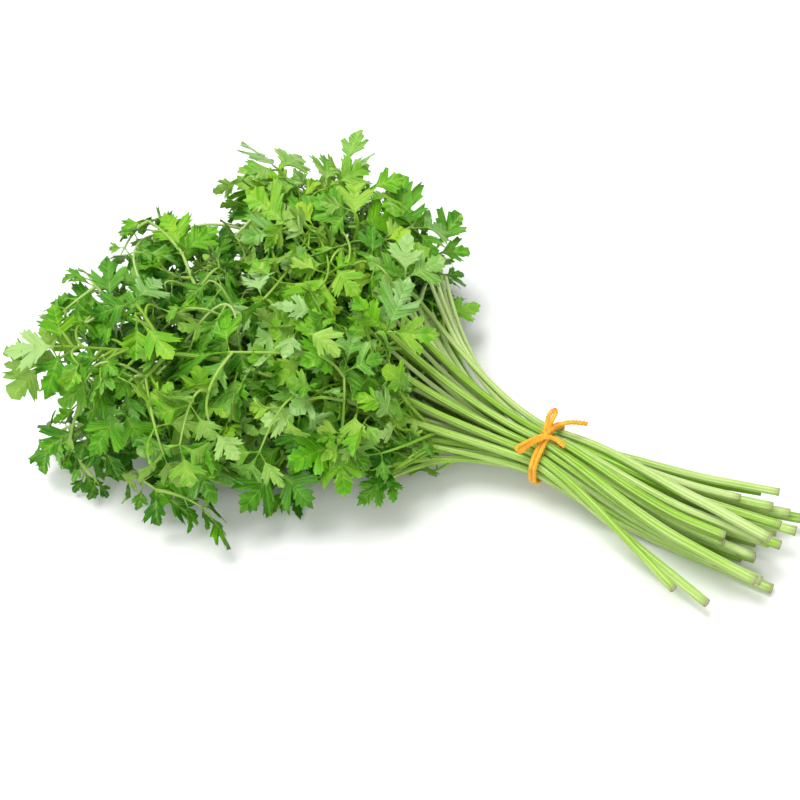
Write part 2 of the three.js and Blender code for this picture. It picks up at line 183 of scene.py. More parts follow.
def stalk_line(stem, x):
    """A stalk's middle line: the place widened by the fan about the bundle's own bent middle line."""
    x = np.atleast_1d(np.asarray(x, float))
    held = np.minimum(x, LEVEL_FROM)
    cut = np.clip(held / LEVEL_FROM, 0, 1)
    leaf = np.maximum(-held, 0)
    fan_y, fan_z = spread_at(stem.place, held)
    middle_y = CUT_SIDEWAYS * cut**2 - LEAF_BEND * leaf**2
    middle_z = TIE_HEIGHT + (LEVEL_HEIGHT - TIE_HEIGHT) * cut**2 * (3 - 2 * cut)
    middle_z = middle_z + LEAF_RISE * (1 - np.exp(-((leaf / LEAF_RISE_BY) ** 2)))
    leafy = (leaf / LEAF_FAN.by) ** 2
    y = middle_y + fan_y + cut**2 * stem.stray + leafy * stem.sway.y
    z = middle_z + fan_z + cut**2 * stem.lift + leafy * stem.sway.z
    if (x > LEVEL_FROM).any():
        ends = stalk_line(stem, [LEVEL_FROM - 1, LEVEL_FROM])
        y = y + (ends[1, 1] - ends[0, 1]) * np.maximum(x - LEVEL_FROM, 0)
    return np.stack([x, y, z], axis=1)


def stalk_radius(stem, x):
    cut = TIE_RADIUS + (CUT_RADIUS - TIE_RADIUS) * np.clip(x / LEVEL_FROM, 0, 1)
    bare = TIE_RADIUS + (FORK_RADIUS - TIE_RADIUS) * np.clip(-x / stem.fork, 0, 1)
    leafy = FORK_RADIUS + (TIP_RADIUS - FORK_RADIUS) * np.clip((-x - stem.fork) / stem.run, 0, 1)
    return np.where(x >= 0, cut, np.where(-x < stem.fork, bare, leafy))


def at_cut_end(place):
    return spread_at(place, np.float64(LEVEL_FROM))


BY_SIDE = sorted(PLACES, key=lambda place: at_cut_end(place)[0])
HIGHEST = max(PLACES, key=lambda place: at_cut_end(place)[1])


def make_stem(index):
    """One stem's own measures, drawn as the solids draw them."""
    place = PLACES[index]
    run, end, sway_y, sway_z, aside = take(seeded(index, 0), 5)
    is_short = place[0] + place[1] < SHORT_BELOW * OUTERMOST
    stem = SimpleNamespace(
        index=index,
        place=place,
        fork=SHORT_FORK if is_short else mix(FIRST_FORK, (index * 0.618 + 0.35) % 1),
        run=SHORT_SHARE * TIP_RUN[0] if is_short else mix(TIP_RUN, run),
        share=SHORT_SHARE if is_short else 1,
        end=mix(CUT_END, end),
        stray=mix((-ASIDE, ASIDE), aside),
        lift=0,
        sway=SimpleNamespace(y=mix((-SWAY.y, SWAY.y), sway_y), z=mix((-SWAY.z, SWAY.z), sway_z)),
    )
    if place == BY_SIDE[0]:
        stem.stray, stem.end = APART.first, LEVEL_FROM + 4
    elif place == BY_SIDE[1]:
        stem.stray = APART.second
    elif place == HIGHEST:
        stem.stray, stem.lift = APART.top, APART.top_lift
    return stem


# ---- Which draw the solids kept

CORNER_GAP = 0.12
LEAFLET_TIPS = ((1, 0), (0.86, 29), (0.86, -29))  # how far out, and at how many degrees


def corners_of(node):
    """A solid's corners, measured as the stems are."""
    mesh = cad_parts[node].data
    flat = np.zeros(len(mesh.vertices) * 3, np.float32)
    mesh.vertices.foreach_get("co", flat)
    return flat.reshape(-1, 3).astype(float) / MM - SHIFT


def has_corners(corners, spots, enough):
    """True if at least enough of the spots are corners of the solid."""
    gaps = np.linalg.norm(corners[None] - np.array(spots)[:, None], axis=2).min(axis=1)
    return (gaps < CORNER_GAP).sum() >= enough


def on_leaflet(leaf, reach, degrees):
    """The point of a folded, drooping leaflet at this reach, in shares of its length, and turn."""
    ahead = reach * leaf.length * math.cos(math.radians(degrees))
    aside = reach * leaf.length * math.sin(math.radians(degrees))
    lift = leaf.fold * abs(aside) - leaf.droop * ahead * ahead / leaf.length
    return leaf.root + leaf.ahead * ahead + leaf.aside * aside + leaf.face * lift


def kept_leaflet(stem, corners, purpose, root, ahead, face, turn, size):
    """The leaflet that the solid has at this root, or None."""
    draws = seeded(stem.index, purpose)
    for attempt in range(TRIES):
        loose = 0.2 + 0.02 * attempt
        yaw, pitch, roll, scale, fold, droop = take(draws, 6)
        turned = math.radians(turn + (yaw - 0.5) * YAW)
        flat = ahead * math.cos(turned) + np.cross(face, ahead) * math.sin(turned)
        leaf_ahead = unit(flat + face * (pitch - 0.6) * 2 * loose)
        leaf_face = square_to(leaf_ahead, face + np.cross(face, flat) * (roll - 0.5) * 3 * loose)
        leaf = SimpleNamespace(
            root=root,
            ahead=leaf_ahead,
            face=leaf_face,
            aside=np.cross(leaf_face, leaf_ahead),
            length=size * mix(SIZES, scale) * (1 - 0.007 * attempt),
            fold=mix(FOLD, fold),
            droop=mix(DROOP, droop),
        )
        tips = [on_leaflet(leaf, *tip) for tip in LEAFLET_TIPS]
        spots = [tip + leaf_face * side * BLADE / 2 for tip in tips for side in (-1, 1)]
        if has_corners(corners, spots, 3):
            return leaf
    return None


def kept_blade(stem, corners, purpose, base, ahead, face, turns, size):
    """The leaflets that the solid has on the short stalk from base."""
    meeting = base + ahead * ROOT_LENGTH
    found = []
    for i, turn in enumerate(turns):
        length = size * (SIDE_LEAFLET if turn else 1)
        leaf = kept_leaflet(stem, corners, purpose + i, meeting, ahead, face, turn, length)
        if leaf:
            leaf.base = base
            found.append(leaf)
    return found


def kept_branch(stem, corners, purpose, root, ahead, face, side):
    """The three points of the branch that the solid has on this side, or None."""
    draws = seeded(stem.index, purpose)
    for attempt in range(TRIES):
        turn, rise, reach = take(draws, 3)
        angle = math.radians(BRANCH_SPREAD + (turn - 0.5) * (20 + 2 * attempt)) * side
        direction = unit(
            ahead * math.cos(angle)
            + np.cross(face, ahead) * math.sin(angle)
            + face * (rise - 0.35) * (0.4 + 0.04 * attempt)
        )
        length = mix(BRANCH_LENGTH, reach) * stem.share
        points = [
            root + direction * length * part - UP * SAG * length * part * part for part in (0, 0.5, 1)
        ]
        along = unit(points[2] - points[0])
        level = unit(np.cross(along, UP))
        rise_way = np.cross(level, along)
        angles = [(2 * k + 1) * math.pi / BRANCH_SIDES - math.pi / 2 for k in range(BRANCH_SIDES)]
        ring = [points[1] + level * math.cos(a) + rise_way * math.sin(a) for a in angles]
        if has_corners(corners, ring, 2):
            return points
    return None


def grow_as_solid(stem):
    """Finds the stem's branches and leaflets in its solid."""
    corners = corners_of(f"leafy_stem_{stem.index + 1:02d}")
    fork, tip = stalk_line(stem, [-stem.fork, -stem.fork - stem.run])
    ahead = unit(tip - fork)
    fan_y, fan_z = spread_at(stem.place, np.float64(-stem.fork))
    (sway,) = take(seeded(stem.index, 1), 1)
    face = square_to(ahead, UP + vec(0, fan_y, fan_z) * 0.012 + vec(0, sway - 0.5, 0))
    size = mix(LEAFLET_LENGTH, (stem.index * 0.381) % 1) * stem.share
    trio = (-TRIO_SPREAD, 0, TRIO_SPREAD)

    stem.fork_point, stem.tip_point, stem.ahead, stem.face, stem.size = fork, tip, ahead, face, size
    stem.leaves = kept_blade(stem, corners, 2, tip - ahead * ROOT_DEPTH, ahead, face, trio, size)
    stem.branches = []
    for purpose, side in ((10, 1), (20, -1)):
        points = kept_branch(stem, corners, purpose, fork, ahead, face, side)
        if points:
            stem.branches.append(points)
            way = unit(points[2] - points[1])
            base = points[2] - way * ROOT_DEPTH
            level = square_to(way, face)
            stem.leaves += kept_blade(stem, corners, purpose + 1, base, way, level, trio, size)
        turn = math.radians(SINGLE_SPREAD) * side
        way = ahead * math.cos(turn) + np.cross(face, ahead) * math.sin(turn)
        base = fork + (tip - fork) * (0.45 if side > 0 else 0.6)
        alone = size * SIDE_LEAFLET
        stem.leaves += kept_blade(stem, corners, purpose + 5, base, way, face, (0,), alone)


stems = [make_stem(index) for index in range(STEM_COUNT)]
for stem in stems:
    grow_as_solid(stem)

# ---- Meshes

GRAIN_LENGTH = 30  # a stalk's grain runs on by one in this length
SHARP_FROM = math.radians(55)
ROUND = np.ones(6)  # a plain twig of six sides


def smooth(values, low, high):
    """0 below low and 1 above high, with an eased way between."""
    share = np.clip((values - low) / (high - low), 0, 1)
    return share * share * (3 - 2 * share)


def joined(parts):
    """Several shells as one: corners end to end, faces renumbered, and each attribute end to end."""
    offset = np.cumsum([0] + [len(part["points"]) for part in parts])
    whole = {key: np.concatenate([part[key] for part in parts]) for key in parts[0]}
    faces = [np.where(part["faces"] < 0, -1, part["faces"] + start) for part, start in zip(parts, offset)]
    return {**whole, "faces": np.concatenate(faces)}


def placed(name, data):
    """A new object in the scene, at the origin."""
    made = bpy.data.objects.new(name, data)
    bpy.context.scene.collection.objects.link(made)
    return made


def make_piece(name, shell, material):
    """A mesh of the shell's points, in metres. Its faces have four corners, or three and then -1."""
    mesh = bpy.data.meshes.new(name)
    points = np.clip((shell["points"] + SHIFT) * MM, *cad_box)
    mesh.vertices.add(len(points))
    mesh.vertices.foreach_set("co", points.astype(np.float32).ravel())
    corners = shell["faces"].ravel()
    counts = (shell["faces"] >= 0).sum(axis=1)
    mesh.loops.add(int(counts.sum()))
    mesh.loops.foreach_set("vertex_index", corners[corners >= 0].astype(np.int32))
    mesh.polygons.add(len(counts))
    starts = np.concatenate([[0], np.cumsum(counts)[:-1]])
    mesh.polygons.foreach_set("loop_start", starts.astype(np.int32))
    mesh.update(calc_edges=True)
    for key in [key for key in shell if key not in ("points", "faces")]:
        values = shell[key].astype(np.float32)
        kind, field = ("FLOAT", "value") if values.ndim == 1 else ("FLOAT_VECTOR", "vector")
        mesh.attributes.new(key, kind, "POINT").data.foreach_set(field, values.ravel())
    mesh.shade_smooth()
    mesh.set_sharp_from_angle(angle=SHARP_FROM)
    mesh.materials.append(material)
    return placed(name, mesh)


def travelled(path):
    """How far along the path each of its points lies."""
    return np.concatenate([[0], np.cumsum(np.linalg.norm(np.diff(path, axis=0), axis=1))])


def round_angles(sides):
    return np.arange(sides) * 2 * math.pi / sides


def quads(i, j, after, width):
    """The faces of a grid with rows of this width, between row i and the next, from j to after."""
    return np.stack([i * width + j, (i + 1) * width + j, (i + 1) * width + after, i * width + after], -1)


def tube(path, radii, swell, across, ahead=None, lean=0, start=0):
    """A closed tube: the point at angle a of a ring is path + reach (side cos a + rise sin a), where
    reach = radius swell(a), side and rise are square to the path, and across says which way side lies.
    The ring leans by lean reach sin a along the path. The grain is (cos a, sin a, way along)."""
    if ahead is None:
        ahead = unit(np.gradient(path, axis=0))
    count, sides = len(path), len(swell)
    side = unit(np.cross(ahead, across))
    rise = np.cross(side, ahead)
    angles = round_angles(sides)
    reach = radii[:, None] * swell
    level = (reach * np.cos(angles))[..., None]
    up = (reach * np.sin(angles))[..., None]
    ring = path[:, None] + level * side[:, None] + up * rise[:, None]
    ring = ring + ahead[:, None] * np.reshape(lean, (-1, 1, 1)) * up
    i, j = np.meshgrid(np.arange(count - 1), np.arange(sides), indexing="ij")
    walls = quads(i, j, (j + 1) % sides, sides).reshape(-1, 4)
    around, last = j[0], (count - 1) * sides
    after = (around + 1) % sides
    pole, none = np.full(sides, count * sides), np.full(sides, -1)
    caps = [(pole, around, after, none), (pole + 1, last + after, last + around, none)]
    along = travelled(path) / GRAIN_LENGTH
    round_about = [np.tile(np.cos(angles), count), np.tile(np.sin(angles), count)]
    grain = np.stack([*round_about, np.repeat(along + start, sides)], axis=1)
    return {
        "points": np.concatenate([ring.reshape(-1, 3), path[:1], path[-1:]]),
        "faces": np.concatenate([walls, *(np.stack(cap, axis=1) for cap in caps)]),
        "grain": np.concatenate([grain, [[0, 0, 0], [0, 0, along[-1]]]]),
    }


def bend(start, middle, end, count):
    """A curve from start to end, drawn towards middle: (1-t)^2 start + 2t(1-t) middle + t^2 end."""
    t = np.linspace(0, 1, count)[:, None]
    return (1 - t) ** 2 * start + 2 * t * (1 - t) * middle + t**2 * end


# ---- Leaflets

# Half of a leaflet's outline from foot to tip, in thousandths of its length. Each row gives where the
# rim lies ahead and aside in a full leaflet, the same in a deeply cut one, where on the rib its vein
# starts, and how strong the vein is.
OUTLINE = [
    (0, 10, 0, 10, 0, 1000), (130, 15, 140, 14, 120, 600), (220, 45, 220, 32, 170, 0),
    (320, 145, 285, 95, 210, 0), (400, 265, 345, 200, 245, 500), (430, 255, 375, 195, 260, 0),
    (505, 385, 435, 315, 285, 600), (545, 335, 480, 265, 305, 0), (615, 445, 545, 405, 325, 700),
    (635, 385, 565, 340, 340, 0), (705, 450, 660, 450, 360, 1000), (700, 375, 650, 365, 375, 0),
    (785, 385, 750, 405, 395, 700), (745, 300, 680, 305, 410, 0), (760, 265, 665, 255, 425, 400),
    (670, 195, 545, 160, 435, 0), (620, 145, 440, 75, 450, 0), (695, 160, 550, 80, 500, 0),
    (765, 215, 630, 165, 540, 500), (765, 175, 645, 125, 580, 0), (840, 220, 755, 205, 620, 700),
    (845, 150, 775, 125, 680, 0), (930, 145, 885, 145, 750, 600), (920, 80, 885, 70, 820, 0),
    (1000, 4, 1000, 4, 985, 1000),
]
HALF_LEAFLET = np.array(OUTLINE) / 1000
ALL_ROWS = list(range(len(HALF_LEAFLET)))
FEW_ROWS = [0, 2, 3, 6, 7, 10, 11, 12, 15, 16, 20, 21, 22, 24]
FINE_GRID = (ALL_ROWS, np.array([-1, -0.72, -0.42, -0.16, 0, 0.16, 0.42, 0.72, 1]))
PLAIN_GRID = (FEW_ROWS, np.array([-1, -0.5, 0, 0.5, 1]))
THICKNESS = 0.3
RIM_UNEVEN = 0.03
LOBE_SIZES = (-0.16, 0.05)  # how much larger than its outline the side of a leaflet is
RIB_WIDTH = 0.03  # the fold is rounded over this share of the length
RIPPLES = 17
SWELL = 0.012
RIM_THINNER = 0.4
VEIN_DEPTH, RIB_DEEPER = 0.05, 0.22  # how far the veins stand out below, and the rib's foot more


def leaflet_shell(leaf, chance, rows, across):
    """A leaflet as a closed shell over a grid. Each row runs from rim to rim over the rib: at share v of
    the way out the flat leaf's point is rib + |v| (rim - rib), on the side that v's sign gives. The flat
    leaf is folded along its rib, bent into an arc from foot to tip, twisted, rippled towards its rim and
    swollen between its veins, and its two faces lie half a thickness above and below."""
    table = HALF_LEAFLET[rows]
    flat_rim = table[:, 0:2] + (table[:, 2:4] - table[:, 0:2]) * leaf.cut
    uneven_rim = flat_rim * (1 + chance.normal(0, RIM_UNEVEN, (2, *flat_rim.shape)))
    uneven_rim[:, -1] = flat_rim[-1]
    lobe = 1 + chance.uniform(*LOBE_SIZES, (2, 1)) * smooth(flat_rim[:, 1], 0.1, 0.3)
    uneven_rim = uneven_rim * lobe[..., None]
    rim = np.where(across[None, :, None] < 0, uneven_rim[0][:, None], uneven_rim[1][:, None])
    rib = table[:, 4:5]
    out, side = np.abs(across)[None], np.sign(across)[None]
    ahead = rib + out * (rim[..., 0] - rib)
    aside = side * out * rim[..., 1] * leaf.width
    vein = np.where(out == 0, 1.0, table[:, 5:6] * np.ones_like(ahead))

    waves = chance.uniform(0, 2 * math.pi, 2)
    along = np.arange(len(rows))[:, None] / len(rows)
    ripple = leaf.ripple * out**2 * np.sin(RIPPLES * along + np.where(side < 0, waves[0], waves[1]))
    swell = SWELL * (1 - vein) * np.sin(math.pi * out) * smooth(ahead, 0.15, 0.35)
    softened = np.sqrt(aside**2 + RIB_WIDTH**2)
    fold = math.atan(leaf.fold)
    tilt = fold * np.abs(aside) / softened
    lift = (softened - RIB_WIDTH) * math.sin(fold) - leaf.curl * aside**2 + leaf.twist * aside * ahead
    lift = lift + ripple + swell
    aside = aside * math.cos(fold)
    bent = 2 * leaf.droop if abs(leaf.droop) > 0.01 else 0.02
    over = ahead * bent
    way = np.sin(over)[..., None] * leaf.ahead + np.cos(over)[..., None] * leaf.face
    middle = leaf.root + leaf.length * (
        (np.sin(over) / bent)[..., None] * leaf.ahead
        - ((1 - np.cos(over)) / bent)[..., None] * leaf.face
        + aside[..., None] * leaf.aside
        + lift[..., None] * way
    )
    normal = np.cos(tilt)[..., None] * way - (side * np.sin(tilt))[..., None] * leaf.aside
    half_thick = THICKNESS / 2 * (1 - RIM_THINNER * out**3)
    depth = (VEIN_DEPTH + RIB_DEEPER * (out == 0) * (1 - ahead)) * vein * (1 - 0.8 * out)
    upper = middle + (half_thick - 0.3 * depth)[..., None] * normal
    lower = middle - (half_thick + depth)[..., None] * normal

    count, width, last = ahead.size, len(across), len(rows) - 1
    k, j = np.meshgrid(np.arange(last), np.arange(width - 1), indexing="ij")
    top = quads(k, j, j + 1, width).reshape(-1, 4)
    right, left, corner = np.arange(last) * width, np.arange(width - 1), last * width
    loop = np.concatenate([right, corner + left, corner + width - 1 - right, width - 1 - left])
    after = np.roll(loop, -1)
    edge = np.stack([after, loop, loop + count, after + count], axis=1)
    same = np.ones_like(ahead)
    plan = np.stack([ahead, aside, leaf.tone * same], axis=-1).reshape(-1, 3)
    look = np.stack([vein * (1 - 0.45 * out), leaf.cool * same, along * same], axis=-1).reshape(-1, 3)
    return {
        "points": np.concatenate([upper.reshape(-1, 3), lower.reshape(-1, 3)]),
        "faces": np.concatenate([top, top[:, ::-1] + count, edge]),
        "plan": np.tile(plan, (2, 1)),
        "look": np.tile(look, (2, 1)),
        "under": np.repeat([0.0, 1.0], count),
    }


def leaf_stalk(leaf, radius):
    """The short stalk from a leaflet's base on its twig into its foot, tapering."""
    foot = leaf.root + leaf.ahead * 0.2 * leaf.length - leaf.face * leaf.droop * 0.04 * leaf.length
    path = bend(leaf.base, leaf.root + (leaf.root - leaf.base) * 0.2, foot, 6)
    return tube(path, np.linspace(radius, 0.14, 6), ROUND, leaf.face)


# ---- Room for the leaves

LOW = np.array(cad_box[0]) / MM - SHIFT
HIGH = np.array(cad_box[1]) / MM - SHIFT
ROOM = 2.0  # the side of a cell of the room that leaves take up
EDGE = 1.2  # no added leaf comes nearer than this to the sides of the bunch's box
taken = np.zeros(np.ceil((HIGH - LOW) / ROOM).astype(int) + 2, bool)

BARE_TO = -34  # the small twigs begin this far from the tie, and further at the back and on top
FAR_LEAVES = -105  # beyond here the small twigs keep to the second bound on the near side
ACROSS = vec(-0.37, 0.695, 0.616)  # the way across the slanting bunch, up and back
NEAR_SIDE, FAR_NEAR_SIDE, BACK_SIDE = 2, -6, 154  # the small twigs' bounds along it


def cell_of(points):
    return tuple(np.clip(((points - LOW) / ROOM).astype(int), 0, np.array(taken.shape) - 1).T)


def blade_points(leaf):
    """A net of points over a leaflet, by which it is given room."""
    reach, degrees = np.meshgrid(np.linspace(0.15, 0.95, 9), np.linspace(-30, 30, 9), indexing="ij")
    angle = np.radians(degrees.ravel())
    share = reach.ravel() * np.where(np.abs(degrees.ravel()) > 12, 0.86, 1)
    ahead, aside = share * np.cos(angle), share * np.sin(angle)
    lift = leaf.fold * np.abs(aside) - leaf.droop * ahead**2
    flat = ahead[:, None] * leaf.ahead + aside[:, None] * leaf.aside + lift[:, None] * leaf.face
    return leaf.root + leaf.length * flat


def in_box(points):
    return (points > LOW + EDGE).all() and (points < HIGH - EDGE).all()


def is_inside(points):
    """Whether the points lie in the bunch's box, off the bare stalks, and in the bunch's own outline."""
    x, y, z = points.T
    back, high = 1.6 * np.clip(y + 22, 0, 16) + 0.3 * np.maximum(y, 0), 0.6 * np.clip(z - 25, 0, 25)
    across = points @ ACROSS
    near_side = np.where(x > FAR_LEAVES, NEAR_SIDE, FAR_NEAR_SIDE)
    fits = (x < BARE_TO - back - high) & (across > near_side) & (across < BACK_SIDE)
    return in_box(points) and fits.all()


# ---- Growing the small twigs

# The ranges that a leaflet's shape is drawn from: an added one, a solid's own and a broad one.
ADDED_SHAPE = {
    "fold": (-0.1, 0.75),
    "droop": (-0.1, 0.75),
    "twist": (-0.6, 0.6),
    "curl": (-0.1, 0.7),
    "ripple": (0.015, 0.05),
    "cut": (0.0, 0.8),
    "width": (0.85, 1.2),
}
SOLIDS_SHAPE = {
    "twist": (-0.3, 0.3),
    "curl": (0, 0.4),
    "ripple": (0.015, 0.04),
    "cut": (0.35, 1),
    "width": (0.9, 1.1),
}
BROAD_SHAPE = {"fold": (0.05, 0.35), "droop": (0.1, 0.4), "cut": (0.55, 0.95), "width": (1, 1.15)}
TWIG_TONE, LEAF_TONE, SOLIDS_TONE = 0.12, 0.14, 0.16  # how far tones stray
COOL = (0.8, 1.1)  # the two powers of the draw that says how much of the cool greens a leaflet has
SOLIDS_SHARE = 0.92  # a solid's leaflet has its corners a little outside the toothed one


@dataclass
class Sort:
    """How a sort of twig carries its leaflets.

    The trio at its end and the pair further down are given by their degrees aside, their size against
    the middle one's and how far out their feet are, and the trio's last number is how far out the
    middle one's is. A pair grows by the odds. The twig's face leans by lean. A leaflet's way strays
    from its place by up to swing degrees and by loose, and its face by one of the sways, which are
    drawn before and after its length. It is tried at each of the shrinks in turn until it fits.
    """

    trio: tuple
    fits: object
    sizes: tuple
    swing: float = 9
    loose: float = 0.14
    lean: float = 0.3
    pair: tuple = ()
    odds: float = 1
    sway: float = 0
    late_sway: float = 0
    shrinks: tuple = (1,)
    shape: dict = field(default_factory=dict)
    thick: float = 0.85
    thin: float = 0.45
    leafiness: float = 0.5
    grid: tuple = PLAIN_GRID


def has_room(allowed):
    return lambda net: is_inside(net) and taken[cell_of(net)].mean() <= allowed


LONG = Sort(
    (60, 0.85, 0.1, 0.2), in_box, (18, 23), pair=(60, 0.8, 0.25), sway=0.25, shrinks=(1, 0.75, 0.5)
)
ARCHED = replace(LONG, thick=0.66, leafiness=0.3)
SLENDER = Sort((62, 0.85, 0.1, 0.2), is_inside, (14, 20), thin=0.85, leafiness=0.12)
SLENDER_THICK = (1.35, 1.95)
PAST_TIE = 14  # a slender stalk begins about here
BROAD = Sort(
    (64, 0.76, 0.08, 0.16), in_box, (0.85, 0.95), swing=8, loose=0.08, lean=0.15, shrinks=(1, 0.8, 0.6),
    shape=BROAD_SHAPE, thick=0.8, thin=0.5, leafiness=0.3, grid=FINE_GRID
)
EXTRA = Sort(
    (64, 0.8, 0.1, 0.22), has_room(0.12), (0.85, 1.12), swing=10, loose=0.16, lean=0.45,
    pair=(58, 0.72, 0.24), odds=0.5, late_sway=0.32, thick=0.78
)
COVER = replace(EXTRA, fits=has_room(0.4))


def drawn(chance, ranges):
    return {key: chance.uniform(*ends) for key, ends in ranges.items()}


def stray_tone(stem, spread):
    return np.clip(stem.tone + stem.chance.normal(0, spread), 0, 1)


def new_leaf(chance, base, foot_out, ahead, face, length, tone, shape):
    """A leaflet on a stalk from base, with its foot the share foot_out of its length away."""
    face = square_to(ahead, face)
    leaf = SimpleNamespace(base=base, root=base + ahead * length * foot_out, ahead=ahead, face=face)
    leaf.aside, leaf.length = np.cross(face, ahead), length
    vars(leaf).update(drawn(chance, ADDED_SHAPE))
    leaf.tone = np.clip(tone + chance.normal(0, LEAF_TONE), 0, 1)
    leaf.cool = chance.beta(*COOL)
    vars(leaf).update(drawn(chance, shape))
    return leaf


def leaflets(stem, sort, end, ahead, face, tone, size=1, below=None):
    """The leaflets of a twig that fit: of the trio at its end, and of the pair at below."""
    chance = stem.chance
    face = square_to(ahead, face + chance.normal(0, sort.lean, 3))
    degrees, share, foot_out, middle_out = sort.trio
    places = [(end, -degrees, share, foot_out), (end, 0, 1, middle_out), (end, degrees, share, foot_out)]
    if below is not None and (sort.odds == 1 or chance.random() < sort.odds):
        places += [(below, side * sort.pair[0], *sort.pair[1:]) for side in (-1, 1)]
    found = []
    for base, degrees, share, foot_out in places:
        angle = math.radians(degrees + chance.uniform(-sort.swing, sort.swing))
        way = ahead * math.cos(angle) + np.cross(face, ahead) * math.sin(angle)
        way = unit(way + chance.normal(0, sort.loose, 3))
        sway = chance.normal(0, sort.sway, 3) if sort.sway else 0
        length = size * share * chance.uniform(*sort.sizes)
        sway = chance.normal(0, sort.late_sway, 3) if sort.late_sway else sway
        for shrink in sort.shrinks:
            leaf = new_leaf(chance, base, foot_out, way, face + sway, length * shrink, tone, sort.shape)
            if sort.fits(blade_points(leaf)):
                found.append(leaf)
                break
    return found


def add_twig(stem, sort, path, leaves, thick=None):
    """Gives a twig to the stem, and room to its leaflets."""
    for leaf in leaves:
        taken[cell_of(blade_points(leaf))] = True
    stem.twigs.append(SimpleNamespace(sort=sort, path=path, leaves=leaves, thick=thick or sort.thick))


def on_tip(stem, share):
    """The point of the stalk's straight leafy part at this share of the way from its fork to its tip."""
    return stem.fork_point + (stem.tip_point - stem.fork_point) * share


def end_way(path):
    return unit(path[-1] - path[-2])


def grow_small(stem, sort, start, way, face, tone, length, size):
    """A curved twig with three or five leaflets, where at least two of them find room."""
    chance = stem.chance
    looseness = 0.3 * min(1, 18 / length)
    out = unit(way + chance.normal(0, looseness, 3))
    end = start + out * length + UP * chance.uniform(-1.1, 0.8) * looseness * length
    middle = start + (way * 0.6 + out * 0.15 + chance.normal(0, 0.7 * looseness, 3)) * length
    path = bend(start, middle, end, 9)
    below = path[5] if length > 14 else None
    leaves = leaflets(stem, sort, end, end_way(path), face, tone, size, below)
    if len(leaves) >= 2 and is_inside(path[3:]):
        add_twig(stem, sort, path, leaves)


def grow_extras(stem, rounds):
    """Twigs from the branches, from the stalk's leafy part and from just below its fork."""
    chance = stem.chance
    for _ in range(rounds):
        where = chance.random()
        if stem.branches and where < FROM_BRANCH:
            root, _, tip = stem.branches[chance.integers(len(stem.branches))]
            start = root + (tip - root) * chance.uniform(0.3, 0.85) - UP * SAG * 0.2
            ahead, length = unit(tip - root), chance.uniform(7, 20)
        elif where < FROM_TIP:
            start = on_tip(stem, chance.uniform(0.1, 0.9))
            ahead, length = stem.ahead, chance.uniform(9, 28)
        else:
            back = chance.uniform(0, 0.3) * stem.fork
            start, beyond = stalk_line(stem, [-stem.fork + back, -stem.fork + back - 5])
            ahead, length = unit(beyond - start), chance.uniform(16, 36)
        around = chance.uniform(0, 2 * math.pi)
        aside = unit(np.cross(ahead, UP))
        sideways = aside * math.cos(around) + np.cross(aside, ahead) * math.sin(around)
        way = unit(ahead * chance.uniform(0.5, 1.0) + sideways)
        face = UP * chance.uniform(0.2, 1.2) + sideways * 0.5 - ahead * 0.3
        size = chance.uniform(14, 25) * stem.share
        grow_small(stem, EXTRA, start, way, face, stray_tone(stem, TWIG_TONE), length, size)


def grow_cover(stem, count):
    """Broad leaflets on short twigs, over the topmost leafy stems."""
    chance = stem.chance
    for _ in range(count):
        along, side, turn = chance.uniform(0.1, 0.95), chance.choice([-1, 1]), chance.uniform(0.4, 1)
        start = on_tip(stem, along)
        if start[2] < COVER_FROM:
            continue
        aside = unit(np.cross(stem.ahead, UP)) * side
        way = unit(stem.ahead * 0.6 + aside * turn + UP * 0.5)
        face, tone = UP - stem.ahead * 0.2, stray_tone(stem, TWIG_TONE)
        grow_small(stem, COVER, start, way, face, tone, chance.uniform(5, 12), chance.uniform(15, 22))


# Where the slender stalks between the tie and the leaves end, from the middle of the tie.
SLENDER_ENDS = [
    (-90, 62, 24), (-86, 64, 36), (-92, 58, 14), (-88, 52, 47), (-82, 44, 32), (-92, 69, 30),
    (-80, 53, 18), (-96, 48, 40), (-95, 36, 58), (-88, 28, 53), (-98, 20, 63), (-85, 12, 54),
    (-96, 4, 60), (-88, -4, 52), (-98, -14, 58), (-86, -16, 46), (-80, -24, 38), (-92, -34, 44),
    (-76, -32, 30), (-84, -44, 26), (-70, -38, 18), (-78, -50, 13), (-66, -46, 9), (-90, 8, 22),
    (-84, 30, 14), (-88, -10, 12), (-82, 50, 10), (-90, 42, 22), (-94, 52, 30), (-80, 36, 8),
    (-90, 24, 34), (-84, 18, 10), (-92, 12, 40), (-80, 2, 10), (-90, -2, 32), (-84, -20, 24),
    (-76, -16, 9), (-86, -28, 14), (-80, 26, 24), (-88, 58, 42), (-92, 64, 18), (-76, -40, 36),
    (-80, 12, 6), (-82, 22, 8), (-76, 8, 14), (-86, 32, 16), (-78, -4, 18), (-82, 40, 14),
    (-84, 14, 22), (-78, -10, 6), (-84, 46, 24), (-86, 38, 40), (-84, 20, 5), (-86, 26, 8),
    (-82, 14, 5), (-90, 32, 6), (-78, 5, 5), (-92, 64, 6), (-90, 58, 5), (-94, 71, 10),
    (-88, 66, 14),
]
# Where the bunch's outermost sprigs end.
SPRIGS = [
    (-186, -90, 36), (-170, -98, 40), (-199, -98, 28), (-160, -98, 24), (-183, -101, 20),
    (-142, -99, 24), (-120, -96, 22), (-203, -4, 80), (-206, -20, 76), (-203, -48, 82),
    (-204, -66, 80), (-203, -72, 68), (-196, 4, 66), (-142, 68, 76), (-97, 70, 40),
    (-176, -102, 14), (-190, -96, 14), (-198, -95, 12), (-186, -99, 8), (-194, -92, 24),
    (-178, -97, 26), (-203, -90, 9),
]
